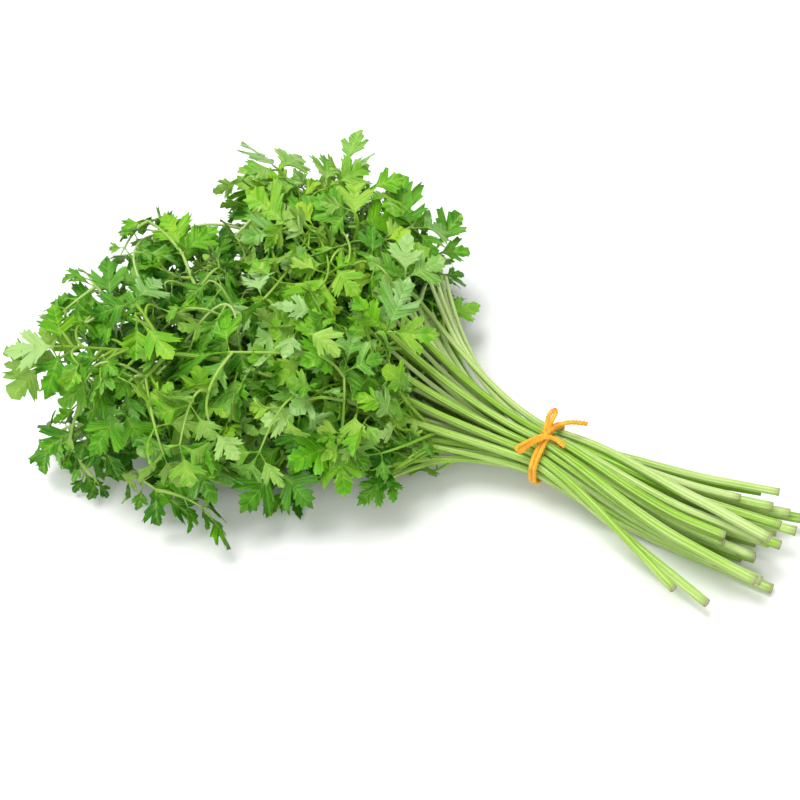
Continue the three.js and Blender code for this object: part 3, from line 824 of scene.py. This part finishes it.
# Long curled petioles that arch over the leaves: where each begins, its top and its end.
ARCHES = [
    [(-139, -21, 70), (-126, -15, 84), (-131, 16, 77)], [(-125, -7, 70), (-108, -1, 84), (-128, 25, 78)],
    [(-180, -56, 70), (-190, -70, 82), (-194, -46, 74)],
    [(-180, -37, 70), (-192, -30, 84), (-200, -5, 74)],
    [(-82, 15, 66), (-92, 20, 80), (-108, 18, 76)], [(-146, -83, 64), (-136, -96, 74), (-132, -99, 56)],
    [(-108, 0, 70), (-108, 20, 84), (-132, 38, 76)], [(-156, -44, 70), (-140, -36, 86), (-128, -42, 80)],
    [(-117, -62, 70), (-124, -82, 80), (-124, -96, 64)],
    [(-160, -70, 70), (-170, -86, 82), (-178, -97, 62)],
    [(-100, -44, 66), (-92, -60, 72), (-98, -76, 52)], [(-168, 4, 66), (-160, 24, 82), (-172, 42, 74)],
]
# The broad leaves that lie over the others: where the three leaflets meet, and the middle one's tip.
BROAD_LEAVES = [
    [(-98, 22, 80), (-81, 46, 76)], [(-79, -34, 72), (-92, -13, 80)],
    [(-95, -34, 76), (-126, -28, 74)], [(-128, -22, 82), (-157, -24, 74)],
    [(-125, -53, 80), (-154, -59, 72)], [(-188, -2, 76), (-200, -20, 64)],
    [(-171, -91, 66), (-174, -104, 40)], [(-115, -84, 68), (-118, -97, 46)],
    [(-112, 10, 84), (-109, -16, 74)], [(-150, 16, 80), (-168, 39, 84)],
    [(-175, -59, 82), (-200, -51, 80)], [(-87, -58, 66), (-87, -69, 44)],
    [(-140, 50, 82), (-128, 74, 78)], [(-160, -84, 70), (-172, -100, 56)],
    [(-100, 60, 66), (-96, 82, 52)],
]
BROAD_FACE = vec(0.15, -0.35, 0)  # the broad leaves lean towards the near side
# An extra twig grows from a branch, from the leafy part or from below the fork, as its draw lies
# below the first of these, below the second or above both.
FROM_BRANCH, FROM_TIP = 0.42, 0.8
COVER_FROM = 58  # the stems that reach this high carry the topmost leaves


def grow_slender(end):
    """A slender side stalk from the nearest main stalk, just past the tie, to the first of the leaves."""
    heart = vec(0, 0, min(20, 5 + 0.7 * end[2]))
    near = heart + (end - heart) * PAST_TIE / -end[0]
    away = [np.linalg.norm(stalk_line(stem, [-PAST_TIE])[0] - near) for stem in stems]
    stem = stems[int(np.argmin(away))]
    chance = stem.chance
    leave = chance.uniform(8, 20)
    start, beyond = stalk_line(stem, [-leave, -leave - 5])
    length = np.linalg.norm(end - start)
    out = vec(0, end[1], end[2] - 20) / length
    control = start + unit(beyond - start) * length * 0.45 + out * chance.uniform(2, 8)
    path = bend(start, control, end, 15)
    leaves = leaflets(stem, SLENDER, end, end_way(path), UP + out, stem.tone)
    add_twig(stem, SLENDER, path, leaves, chance.uniform(*SLENDER_THICK))


def nearest_start(near, way=UP * 0):
    """The stem with the point of a leafy stalk, branch or twig that lies nearest to near, and that point.

    A point that lies further along way than near counts as three times that much further off.
    """
    starts = []
    for stem in stems:
        lines = [[stem.fork_point, (stem.fork_point + stem.tip_point) / 2, stem.tip_point]]
        lines += stem.branches + [twig.path[4:] for twig in stem.twigs]
        points = np.array([point for line in lines for point in line[1:]])
        far = np.linalg.norm(points - near, axis=1) + 3 * np.maximum((points - near) @ way, 0)
        starts.append((far.min(), stem.index, points[far.argmin()]))
    _, index, start = min(starts, key=lambda found: found[0])
    return stems[index], start


def grow_broad(base, tip):
    """A leaf of three broad, deeply cut leaflets that meet at base, on a stalk from the nearest stem."""
    way = unit(tip - base)
    stem, start = nearest_start(base - way * 12 - UP * 9, way)
    leaves = leaflets(stem, BROAD, base, way, UP + BROAD_FACE, stem.tone, np.linalg.norm(tip - base))
    sway = stem.chance.normal(0, 0.12, 3) * np.linalg.norm(base - start)
    add_twig(stem, BROAD, bend(start, base - way * 8 + UP * 2 + sway, base, 11), leaves)


def grow_sprig(end, near=None, over=None):
    """A long sprig with five leaflets to end, from the point of a stem or sprig nearest to near.

    It arches over the point over, or, without one, a little above the straight line.
    """
    stem, start = nearest_start(end if near is None else near)
    away = np.linalg.norm(end - start)
    halfway = (start + end) / 2
    if over is None:
        sort, control = LONG, halfway + UP * away * 0.18 + stem.chance.normal(0, 0.08, 3) * away
    else:
        sort, control = ARCHED, 2 * over - halfway
    path = bend(start, control, end, 11)
    below = path[6] if away > 16 else None
    add_twig(stem, sort, path, leaflets(stem, sort, end, end_way(path), UP, stem.tone, 1, below))


def paint_shade_on_inner_leaves():
    """Painted shade: leaves that lie deep under the topmost one of their spot in the bunch get a darker
    green tone, and the topmost a little lighter, as painted light.
    """
    leaves = [leaf for stem in stems for leaf in stem.leaves]
    leaves += [leaf for stem in stems for twig in stem.twigs for leaf in twig.leaves]
    places = np.array([leaf.root + leaf.ahead * leaf.length / 2 for leaf in leaves])
    spots = np.floor(places[:, :2] / SPOT) @ [1000, 1]
    group = np.unique(spots, return_inverse=True)[1]
    top = np.zeros(group.max() + 1)
    np.maximum.at(top, group, places[:, 2])
    depth = np.clip((top[group] - places[:, 2]) / SHADE_DARKEST_AT, 0, 1)
    for leaf, deep in zip(leaves, depth):
        leaf.tone = np.clip(leaf.tone + TOP_PAINTED_LIGHT - DEEP_PAINTED_SHADE * deep, 0, 1)


SPOT = 14  # the side of a spot of the bunch, seen from above
SHADE_DARKEST_AT = 45  # the depth at which the painted shade on leaves is darkest
# How much the topmost leaves are lightened, as painted light, and the deepest darkened, as painted shade
TOP_PAINTED_LIGHT, DEEP_PAINTED_SHADE = 0.08, 0.42

for stem in stems:
    chance = stem.chance = np.random.default_rng(5000 + stem.index)
    stem.tone = chance.uniform(0.2, 0.8)
    stem.twigs = []
    for leaf in stem.leaves:
        leaf.length *= SOLIDS_SHARE
        vars(leaf).update(drawn(chance, SOLIDS_SHAPE))
        leaf.tone = stray_tone(stem, SOLIDS_TONE)
        leaf.cool = chance.beta(*COOL)
        taken[cell_of(blade_points(leaf))] = True
for end in SPRIGS:
    grow_sprig(vec(*end))
for base, tip in BROAD_LEAVES:
    grow_broad(vec(*base), vec(*tip))
for near, over, end in ARCHES:
    grow_sprig(vec(*end), vec(*near), vec(*over))
for end in SLENDER_ENDS:
    grow_slender(vec(*end))
for stem in stems:
    grow_cover(stem, 8)
for _ in range(7):
    for stem in stems:
        grow_extras(stem, 12)
paint_shade_on_inner_leaves()

# ---- Materials


class Shading:
    """The nodes of one material, world or group, with short ways to add to them."""

    def __init__(self, tree):
        self.tree = tree

    def node(self, kind, inputs=(), **settings):
        """A node with its settings and the values or links of its inputs."""
        made = self.tree.nodes.new(kind)
        for key, value in settings.items():
            setattr(made, key, value)
        for key, value in dict(inputs).items():
            if isinstance(value, bpy.types.NodeSocket):
                self.tree.links.new(value, made.inputs[key])
            else:
                made.inputs[key].default_value = value
        return made

    def math(self, kind, *values, clamp=False):
        made = self.node("ShaderNodeMath", enumerate(values), operation=kind, use_clamp=clamp)
        return made.outputs[0]

    def times(self, first, second, clamp=False):
        return self.math("MULTIPLY", first, second, clamp=clamp)

    def plus(self, first, second):
        return self.math("ADD", first, second)

    def minus(self, first, second, clamp=False):
        return self.math("SUBTRACT", first, second, clamp=clamp)

    def ramp(self, factor, *stops):
        """A colour ramp through (place, colour) stops."""
        made = self.node("ShaderNodeValToRGB", {"Fac": factor})
        band = made.color_ramp
        while len(band.elements) < len(stops):
            band.elements.new(0.5)
        for element, (place, colour) in zip(band.elements, stops):
            element.position = place
            element.color = (*colour, 1)
        return made.outputs["Color"]

    def blend(self, factor, first, second):
        """A mix of two colours, the second one linked or a constant."""
        second = second if isinstance(second, bpy.types.NodeSocket) else (*second, 1)
        return self.node("ShaderNodeMix", {0: factor, 6: first, 7: second}, data_type="RGBA").outputs[2]

    def noise(self, vector, scale, detail):
        inputs = {"Vector": vector, "Scale": scale, "Detail": detail}
        return self.node("ShaderNodeTexNoise", inputs).outputs["Fac"]

    def attribute(self, name, socket="Fac"):
        return self.node("ShaderNodeAttribute", attribute_name=name).outputs[socket]

    def parts(self, name):
        """The three numbers of a vector attribute."""
        return self.node("ShaderNodeSeparateXYZ", {0: self.attribute(name, "Vector")}).outputs

    def stretched_grain(self, scale):
        inputs = {"Vector": self.attribute("grain", "Vector"), "Scale": scale}
        return self.node("ShaderNodeMapping", inputs).outputs[0]

    def uneven(self, scale, fine):
        """The mask and the relief of uneven growth, over the object's own place."""
        place = self.node("ShaderNodeTexCoord").outputs["Object"]
        inputs = {"Vector": place, "Scale": scale, "Fine scale": fine}
        return self.node("ShaderNodeGroup", inputs, node_tree=UNEVEN).outputs

    def bump(self, height, distance):
        inputs = {"Height": height, "Strength": 0.6, "Distance": distance}
        return self.node("ShaderNodeBump", inputs).outputs[0]

    def principled(self, colour, roughness, **more):
        """A Principled shader, with an underscore for the space in each other input's name."""
        inputs = {"Base Color": colour, "Roughness": roughness}
        inputs.update((key.replace("_", " "), value) for key, value in more.items())
        return self.node("ShaderNodeBsdfPrincipled", inputs).outputs[0]


def new_material(name):
    """A material without a surface yet, and its nodes."""
    material = bpy.data.materials.new(name)
    material.use_nodes = True
    material.node_tree.nodes.clear()
    return material, Shading(material.node_tree)


def uneven_group():
    """Uneven growth: two sizes of soft noise as a mask about 0.5, and a fine one for relief."""
    tree = bpy.data.node_groups.new("Uneven growth", "ShaderNodeTree")
    tree.interface.new_socket("Vector", in_out="INPUT", socket_type="NodeSocketVector")
    for label, value in (("Scale", 60.0), ("Fine scale", 900.0)):
        socket = tree.interface.new_socket(label, in_out="INPUT", socket_type="NodeSocketFloat")
        socket.default_value = value
    for label in ("Mask", "Relief"):
        tree.interface.new_socket(label, in_out="OUTPUT", socket_type="NodeSocketFloat")
    nodes = Shading(tree)
    vector, scale, fine = nodes.node("NodeGroupInput").outputs[:3]
    small = nodes.noise(vector, fine, 2.0)
    mask = nodes.math("MULTIPLY_ADD", nodes.noise(vector, scale, 3.0), 0.65, nodes.times(small, 0.35))
    nodes.node("NodeGroupOutput", {"Mask": mask, "Relief": small})
    return tree


UNEVEN = uneven_group()

LEAF_DEEP = (0.012, 0.150, 0.0003)
LEAF_MIDDLE = (0.130, 0.46, 0.001)
LEAF_YOUNG = (0.385, 0.65, 0.025)
COOL_DEEP = (0.012, 0.135, 0.001)
COOL_MIDDLE = (0.130, 0.40, 0.032)
# The palest cool green: partly the leaves' own bluish cast, partly a painted sheen
COOL_YOUNG_AND_SHEEN = (0.43, 0.66, 0.28)
LEAF_UNDER = (0.34, 0.57, 0.09)
LEAF_VEIN = (0.50, 0.72, 0.13)
LEAF_GLOW = (0.38, 0.66, 0.003)
STALK_PALE = (0.53, 0.67, 0.26)
STALK_BARE = (0.27, 0.50, 0.030)
STALK_LEAFY = (0.10, 0.29, 0.004)
CUT_SKIN = (0.30, 0.38, 0.12)
CUT_RIM = (0.23, 0.21, 0.12)
CUT_PITH = (0.50, 0.54, 0.30)
YARN_LIGHT = (1.0, 0.55, 0.035)
YARN_DEEP = (0.66, 0.21, 0.008)
YARN_SHEEN = (1.0, 0.72, 0.35)


def leaf_material():
    """Green in two casts, from deep to young by the leaflet's tone, with pale veins, and light that
    shines through. The tone holds painted shade for leaves deep in the bunch, and the palest cool green
    is partly the leaves' own bluish cast and partly a painted sheen. The veins run out from the rib in
    chevrons, and the streaks fan with them."""
    material, nodes = new_material("parsley_leaf")
    mask, relief = nodes.uneven(70.0, 1100.0)
    plan = nodes.attribute("plan", "Vector")
    ahead, aside, tone = nodes.node("ShaderNodeSeparateXYZ", {0: plan}).outputs
    vein, cool, row = nodes.parts("look")
    cells = {"Vector": plan, "Scale": 26.0}
    net = nodes.node("ShaderNodeTexVoronoi", cells, feature="DISTANCE_TO_EDGE").outputs["Distance"]
    back = nodes.minus(ahead, nodes.times(nodes.math("ABSOLUTE", aside), 1.5))
    slanted = nodes.plus(back, nodes.times(mask, 0.2))
    chevron = nodes.math("PINGPONG", nodes.times(slanted, 11.0), 0.5)
    side_vein = nodes.minus(1.0, nodes.times(chevron, 11.0), clamp=True)
    main_vein = nodes.math("POWER", vein, 4.0)
    veins = nodes.math("MAXIMUM", main_vein, nodes.times(side_vein, 0.24), clamp=True)
    fan = nodes.node("ShaderNodeCombineXYZ", {0: row, 1: nodes.times(ahead, 0.08), 2: tone}).outputs[0]
    streaks = nodes.noise(fan, 26.0, 2.0)
    mottled = nodes.plus(nodes.times(mask, 0.9), nodes.times(streaks, 1.25))
    # The leaflet's tone carries painted shade for leaves deep in the bunch and painted light for the topmost
    shade = nodes.plus(nodes.minus(mottled, 1.07), tone)
    warm = nodes.ramp(shade, (0.05, LEAF_DEEP), (0.5, LEAF_MIDDLE), (0.95, LEAF_YOUNG))
    dull = nodes.ramp(shade, (0.05, COOL_DEEP), (0.5, COOL_MIDDLE), (0.95, COOL_YOUNG_AND_SHEEN))
    top = nodes.blend(cool, warm, dull)
    colour = nodes.blend(nodes.times(nodes.attribute("under"), 0.7), top, LEAF_UNDER)
    colour = nodes.blend(nodes.times(veins, 0.5), colour, LEAF_VEIN)
    height = nodes.math("MULTIPLY_ADD", net, 0.6, nodes.times(veins, -0.5))
    height = nodes.plus(nodes.plus(height, nodes.times(relief, 0.45)), streaks)
    normal = nodes.bump(height, 0.0006)
    rough = nodes.math("MULTIPLY_ADD", mask, 0.22, 0.25)
    shader = nodes.principled(colour, rough, Normal=normal, IOR=1.32)
    through = {"Color": (*LEAF_GLOW, 1), "Normal": normal}
    glow = nodes.node("ShaderNodeBsdfTranslucent", through).outputs[0]
    both = nodes.node("ShaderNodeMixShader", {0: 0.18, 1: shader, 2: glow}).outputs[0]
    nodes.node("ShaderNodeOutputMaterial", {"Surface": both})
    return material


def stalk_material():
    """Green that deepens towards the leaves, in long streaks, and the cut face's rim and pith."""
    material, nodes = new_material("parsley_stalk")
    mask, relief = nodes.uneven(45.0, 700.0)
    streaks = nodes.noise(nodes.stretched_grain((1.5, 1.5, 0.3)), 2.8, 6.0)
    shade, cut, tone = nodes.parts("part")
    for value, share in ((mask, 0.6), (streaks, 1.75), (tone, 1.3)):
        shade = nodes.plus(shade, nodes.times(nodes.minus(value, 0.5), share))
    colour = nodes.ramp(shade, (0.0, STALK_PALE), (0.5, STALK_BARE), (1.0, STALK_LEAFY))
    face = nodes.ramp(cut, (0.1, CUT_SKIN), (0.35, CUT_RIM), (0.7, CUT_RIM), (0.95, CUT_PITH))
    colour = nodes.blend(nodes.times(cut, 6.0, clamp=True), colour, face)
    rough = nodes.math("MULTIPLY_ADD", streaks, 0.25, 0.26)
    normal = nodes.bump(nodes.plus(streaks, nodes.times(relief, 0.3)), 0.0006)
    shader = nodes.principled(
        colour,
        rough,
        Normal=normal,
        IOR=1.38,
        Subsurface_Weight=0.15,
        Subsurface_Radius=(0.6, 1.0, 0.2),
        Subsurface_Scale=0.0015,
    )
    nodes.node("ShaderNodeOutputMaterial", {"Surface": shader})
    return material


def yarn_material():
    """Dull orange yarn, with a soft sheen and fine hairs along its grain."""
    material, nodes = new_material("orange_yarn")
    mask, relief = nodes.uneven(220.0, 2600.0)
    hairs = nodes.noise(nodes.stretched_grain((5, 5, 6)), 2.5, 4.0)
    shader = nodes.principled(
        nodes.ramp(mask, (0.3, YARN_DEEP), (0.62, YARN_LIGHT)),
        0.88,
        Normal=nodes.bump(nodes.plus(hairs, relief), 0.0002),
        Sheen_Weight=0.35,
        Sheen_Roughness=0.5,
        Sheen_Tint=(*YARN_SHEEN, 1),
    )
    nodes.node("ShaderNodeOutputMaterial", {"Surface": shader})
    return material


LEAF = leaf_material()
STALK = stalk_material()
YARN = yarn_material()

# ---- The stalks and the leaflets

STALK_SHARE = 0.94  # the stalks' share of the radius that their solids have
RIBS = 7
RIB_DEPTH = 0.06
CUT_STEPS = [1, 0.8, 0.35, 0.14]  # how near the cut face's middle the first rings are
CUT_RADII = [0.45, 0.8, 0.97]  # the first three rings' radii, in shares of the stalk's
CUT_DEPTHS = np.array([[0.35], [0.12], [0.3]])  # how far in the first, second and fourth ring lie
CUT_SLANT = 0.18  # how far aslant a stalk is cut at most
FORK_THINNER = 0.3  # the share of its radius that a stalk loses by its fork
SLIMMEST = 0.19  # and the share that the slimmest stalk lacks away from the tie
SWELLINGS = ((0.03, 17), (0.02, 6.1))  # a stalk's radius swells by these shares, over these lengths
# How green a stalk is, how much more or less so at its ends, and how much painted light its ribs and painted
# shade its grooves get.
GREEN, CUT_PALER, LEAFY_GREENER, RIB_LIGHT_AND_GROOVE_SHADE = 0.29, 0.14, 0.34, 0.16
BRANCH = SimpleNamespace(radii=(1.1, 0.75), ribs=5, rib_depth=0.05, sides=10, leafiness=0.48)
SOLIDS_STALK = SimpleNamespace(radius=0.6, leafiness=0.65)  # the short stalks of the leaflets
ADDED_STALK = SimpleNamespace(radius=0.42, leafiness=0.6)


def cut_in(stem):
    """The stalk's path and radii from its cut end to its tip, with the cut face drawn in over its pith."""
    bare = np.linspace(stem.end, -stem.fork, 60)
    line = np.concatenate([stalk_line(stem, bare), on_tip(stem, np.linspace(0, 1, 14)[1:, None])])
    x = line[:, 0]
    slimness = SLIMMEST * (stem.index * 7 % 10) / 9
    sway = stem.chance.uniform(0, 2 * math.pi, 2)
    thinned = 1 - FORK_THINNER * smooth(-x, stem.fork - 25, stem.fork + 12)
    waves = 1
    for (share, length), start in zip(SWELLINGS, sway):
        waves = waves + share * np.sin(x / length + start)
    radii = stalk_radius(stem, x) * STALK_SHARE * thinned * (1 - slimness * smooth(np.abs(x), 6, 45)) * waves
    line = line + UP * (0.3 * smooth(x, 0, LEVEL_FROM))[:, None]
    path = np.concatenate([line[:1], line[:1], line[:1], line])
    path[[0, 1, 3]] += unit(line[1] - line[0]) * CUT_DEPTHS
    return path, np.concatenate([radii[:1] * CUT_RADII, radii])


def main_stalk(stem):
    """The ribbed stalk, cut a little aslant, greener towards its leaves, with painted light on its ribs and
    painted shade between them.
    """
    path, radii = cut_in(stem)
    ahead = np.gradient(path[3:], axis=0)
    ahead = unit(np.concatenate([np.repeat(ahead[:1], 3, axis=0), ahead]))
    angles = round_angles(4 * RIBS)
    ribs = np.cos(RIBS * angles)
    swell = 0.98 + RIB_DEPTH * ribs - 0.03 * np.cos(2 * angles)
    lean = stem.chance.uniform(-CUT_SLANT, CUT_SLANT) * np.exp(-np.arange(len(path)) / 1.5)
    shell = tube(path, radii, swell, UP, ahead, lean, stem.index)
    x = np.concatenate([np.repeat(path[:, 0], len(angles)), path[:1, 0], path[-1:, 0]])
    greener = LEAFY_GREENER * smooth(-x, 55, stem.fork + stem.run)
    leafiness = GREEN - CUT_PALER * np.clip(x / 105, 0, 1) + greener
    # Painted light on the ribs and painted shade in the grooves between them
    leafiness = leafiness - RIB_LIGHT_AND_GROOVE_SHADE * np.concatenate([np.tile(ribs, len(path)), [0, 0]])
    cut = np.zeros(len(path))
    cut[:4] = CUT_STEPS
    return shell, leafiness, np.concatenate([np.repeat(cut, len(angles)), [1, 0]])


def stalk_piece(stem):
    """A stem's stalk, branches, twigs and leaf stalks, each with how leafy and how cut its points are."""
    parts = [main_stalk(stem)]
    branch_swell = 1 + BRANCH.rib_depth * np.cos(BRANCH.ribs * round_angles(BRANCH.sides))
    for start, middle, end in stem.branches:
        path = bend(start, 2 * middle - (start + end) / 2, end + (end - middle) * 0.02, 14)
        parts.append((tube(path, np.linspace(*BRANCH.radii, 14), branch_swell, UP), BRANCH.leafiness, 0))
    for twig in stem.twigs:
        radii = np.linspace(twig.thick, twig.sort.thin, len(twig.path))
        across = unit(np.cross(twig.path[-1] - twig.path[0], vec(0.3, 0.5, 1)))
        parts.append((tube(twig.path, radii, ROUND, across), twig.sort.leafiness, 0))
    kinds = [(leaf, SOLIDS_STALK) for leaf in stem.leaves]
    kinds += [(leaf, ADDED_STALK) for twig in stem.twigs for leaf in twig.leaves]
    parts += [(leaf_stalk(leaf, kind.radius), kind.leafiness, 0) for leaf, kind in kinds]
    for shell, leafiness, cut in parts:
        columns = [np.broadcast_to(value, len(shell["points"])) for value in (leafiness, cut, stem.tone)]
        shell["part"] = np.stack(columns, axis=1).astype(float)
    return make_piece(f"stalk_{stem.index + 1:02d}", joined([shell for shell, _, _ in parts]), STALK)


def leaves_piece(stem):
    parts = [leaflet_shell(leaf, stem.chance, *FINE_GRID) for leaf in stem.leaves]
    for twig in stem.twigs:
        parts += [leaflet_shell(leaf, stem.chance, *twig.sort.grid) for leaf in twig.leaves]
    return make_piece(f"leaves_{stem.index + 1:02d}", joined(parts), LEAF)


for stem in stems:
    node_name = f"leafy_stem_{stem.index + 1:02d}"
    for piece in (stalk_piece(stem), leaves_piece(stem)):
        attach(piece, "root")
        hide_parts(node_name)

# ---- The tie

STRING_RADIUS = 1.2
STRING_GAP = 0.6
KNOT = vec(2.5, -2, 15.4)
TURN_PARTING = 0.95
TURN_LEAN = 1.2
TURN_POINTS = 20
UPPER_EAR = [
    (1.6, -1, 15.8),
    (-0.3, 5, 17.6),
    (-0.9, 9, 17.6),
    (-0.2, 11.6, 16.9),
    (1.2, 9.4, 17.5),
    (1.8, 5, 17.7),
    (2.8, -1, 15.8),
]
LOWER_EAR = [
    (2.4, -2, 15.8),
    (-1.2, -6, 15.4),
    (-4.6, -9.6, 13.8),
    (-6.6, -12.2, 12.4),
    (-4.2, -12.6, 12),
    (-1.4, -8.6, 14.4),
    (3, -3, 15.8),
]
LONG_TAIL = [(2.6, -2, 15.8), (5, 3, 17.8), (9, 8, 17.4), (15.5, 12, 15.8)]
SHORT_TAIL = [(3, -2.6, 15.8), (8, -3, 16.8), (12.6, -4, 15.8)]
# The wrap round the knot: how far it reaches out and up, the way it runs, and half its length.
WRAP_OUT = unit(vec(0.8, -0.6, 0)) * 1.8
WRAP_UP = 1.6
WRAP_WAY = unit(vec(0.75, 0.66, 0))
WRAP_HALF = 0.6
TWIST_PITCH = 4.8  # the yarn's three strands turn once in this length
STRAND_RADIUS = 0.56
STRAND_OUT = 0.5
STRAND_SIDES = 8
YARN_STEP = 0.55
HAIR_COUNT = 420
HAIR_RADII = np.array([0.06, 0.055, 0.045, 0.02])


def turn_of_string(side):
    """One turn round the stalks: at each angle as far out as the outermost stalk that way allows."""
    reach = TIE_RADIUS + STRING_GAP + STRING_RADIUS
    part = np.linspace(0, 1, TURN_POINTS + 1)
    angle = math.atan2(KNOT[2], KNOT[1]) + part * 2 * math.pi
    way = np.stack([np.cos(angle), np.sin(angle)], axis=1)
    places = np.array(PLACES)
    out = places[(way @ places.T).argmax(axis=1)] + reach * way
    x = KNOT[0] - TURN_LEAN * np.sin(math.pi * part) + side * TURN_PARTING
    return np.column_stack([x, out])


def wrap_of_string():
    """The turn that holds the knot together: an ellipse about it, drawn out along WRAP_WAY."""
    angle = np.linspace(0, 2 * math.pi, 13)[:, None]
    ring = np.cos(angle) * WRAP_OUT + np.sin(angle) * UP * WRAP_UP
    return KNOT + vec(0, 0, 0.3) + ring + WRAP_WAY * (angle / math.pi - 1) * WRAP_HALF


def smooth_path(points, step):
    """A curve through the points (Catmull and Rom's cubic), with a point each step of its length."""
    points = np.array(points, float)
    wide = np.concatenate([2 * points[:1] - points[1:2], points, 2 * points[-1:] - points[-2:-1]])
    t = np.linspace(0, 1, 24, endpoint=False)[None, :, None]
    a, b, c, d = (wide[i : len(wide) - 3 + i, None] for i in range(4))
    curve = 2 * b + (c - a) * t + (2 * a - 5 * b + 4 * c - d) * t**2 + (3 * b - a - 3 * c + d) * t**3
    curve = np.concatenate([0.5 * curve.reshape(-1, 3), points[-1:]])
    along = travelled(curve)
    places = np.linspace(0, along[-1], max(int(along[-1] / step), 4))
    return np.stack([np.interp(places, along, curve[:, axis]) for axis in range(3)], axis=1)


def yarn(path, across):
    """Three strands, each at a third of a turn about the path, turning once in TWIST_PITCH."""
    side = unit(np.cross(unit(np.gradient(path, axis=0)), across))
    rise = np.cross(side, unit(np.gradient(path, axis=0)))
    radii, swell = np.full(len(path), STRAND_RADIUS), np.ones(STRAND_SIDES)
    strands = []
    for third in range(3):
        angle = 2 * math.pi * (np.arange(len(path)) * YARN_STEP / TWIST_PITCH + third / 3)[:, None]
        line = path + STRAND_OUT * (side * np.cos(angle) + rise * np.sin(angle))
        strands.append(tube(line, radii, swell, across))
    return strands


def stray_hairs(paths):
    """Short fine hairs that stand out from the yarn, each bent along it."""
    chance = np.random.default_rng(77)
    hairs = []
    for _ in range(HAIR_COUNT):
        path = paths[chance.integers(len(paths))]
        at = chance.integers(1, len(path) - 2)
        ahead = unit(path[at + 1] - path[at])
        out = unit(np.cross(ahead, chance.normal(0, 1, 3)))
        start = path[at] + out
        length = chance.uniform(0.8, 2.2)
        end = start + (out * chance.uniform(0.2, 0.7) + ahead * chance.uniform(-1, 1)) * length
        curve = bend(start, start + (out * 0.5 + ahead * 0.4) * length, end, 4)
        hairs.append(tube(curve, HAIR_RADII, np.ones(3), ahead + out * 0.2))
    return hairs


def tie_piece():
    level = vec(1, 0.02, 0.03)
    routes = [(turn_of_string(side), level) for side in (-1, 1)]
    routes += [(route, UP) for route in (UPPER_EAR, LOWER_EAR, LONG_TAIL, SHORT_TAIL)]
    routes.append((wrap_of_string(), WRAP_WAY + vec(0, 0, 0.05)))
    paths = [smooth_path(route, YARN_STEP) + UP * TIE_HEIGHT for route, _ in routes]
    strands = [strand for path, (_, across) in zip(paths, routes) for strand in yarn(path, across)]
    return make_piece("twine_yarn", joined(strands + stray_hairs(paths)), YARN)


twine = tie_piece()
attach(twine, "root")
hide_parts("twine_tie")

# ---- Floor, light and camera

FLOOR_HALF = 4.0  # metres
FLOOR_GREY = (0.93, 0.93, 0.93, 1)
CAMERA_TURN = math.radians(28)  # the camera stands this far round from square to the stalks
CAMERA_HEIGHT = math.radians(52)  # and looks down this steeply
CAMERA_AWAY = 0.84  # metres from the tie
LENS = 84.6
SENSOR = 36
FRAME = 800  # pixels
TIE_RIGHT, TIE_DOWN = 143, 52  # the tie is this many pixels right of and below the frame's middle
FOCAL = LENS / SENSOR * FRAME
WHITE_SEEN, WHITE_LIT = 1.1, 0.44  # the room's strength, as the camera sees it and as light
# The two lamps: where each stands, how many degrees wide it is in the sky, and how strong.
LAMPS = {"key": (vec(-0.38, -0.1, 1.35), 34, 2.7), "fill": (vec(0.35, -0.62, 0.75), 50, 1.05)}


def pale_floor():
    corners = [(-1, -1), (1, -1), (1, 1), (-1, 1)]
    mesh = bpy.data.meshes.new("floor")
    mesh.from_pydata([(x * FLOOR_HALF, y * FLOOR_HALF, 0) for x, y in corners], [], [(0, 1, 2, 3)])
    material, nodes = new_material("pale_floor")
    nodes.node("ShaderNodeOutputMaterial", {"Surface": nodes.principled(FLOOR_GREY, 0.9)})
    mesh.materials.append(material)
    placed("floor", mesh)


def looking(place, ahead, up):
    """The placing of a lamp or camera that looks ahead, with up as near to upright as that lets it be."""
    right = unit(np.cross(ahead, up))
    matrix = np.eye(4)
    matrix[:3] = np.column_stack([right, np.cross(right, ahead), -ahead, place])
    return Matrix(matrix.tolist())


def soft_light(name, place, spread, strength):
    """A far-off lamp that shines from place towards the bunch, as wide in the sky as spread degrees."""
    light = bpy.data.lights.new(name, "SUN")
    light.angle = math.radians(spread)
    light.energy = strength
    placed(name, light).matrix_world = looking(place, -unit(place), UP)


def make_camera():
    """A camera turned about its own axes, so that the tie lies off the middle of its view."""
    flat = math.cos(CAMERA_HEIGHT)
    right = vec(math.cos(CAMERA_TURN), math.sin(CAMERA_TURN), 0)
    out = vec(flat * right[1], -flat * right[0], math.sin(CAMERA_HEIGHT))
    rise = np.cross(out, right)
    turn = math.atan(TIE_RIGHT / FOCAL)
    tip = math.atan(TIE_DOWN / math.hypot(TIE_RIGHT, FOCAL))
    ahead = (-out * math.cos(turn) - right * math.sin(turn)) * math.cos(tip) + rise * math.sin(tip)
    data = bpy.data.cameras.new("camera")
    data.lens = LENS
    data.sensor_width = SENSOR
    data.clip_start = 0.01
    camera = placed("camera", data)
    camera.matrix_world = looking((SHIFT + UP * TIE_HEIGHT) * MM + out * CAMERA_AWAY, ahead, rise)
    bpy.context.scene.camera = camera


def light_room():
    """A white room that looks brighter to the camera than the light it gives, and two wide lamps."""
    world = bpy.data.worlds.new("soft_room")
    world.use_nodes = True
    nodes = Shading(world.node_tree)
    seen = nodes.node("ShaderNodeLightPath").outputs["Is Camera Ray"]
    strength = nodes.math("MULTIPLY_ADD", seen, WHITE_SEEN - WHITE_LIT, WHITE_LIT)
    background = world.node_tree.nodes["Background"]
    background.inputs["Color"].default_value = (1, 1, 1, 1)
    world.node_tree.links.new(strength, background.inputs["Strength"])
    bpy.context.scene.world = world
    bpy.context.scene.view_settings.view_transform = "Standard"
    for name, (place, spread, strength) in LAMPS.items():
        soft_light(name, place, spread, strength)


pale_floor()
light_room()
make_camera()
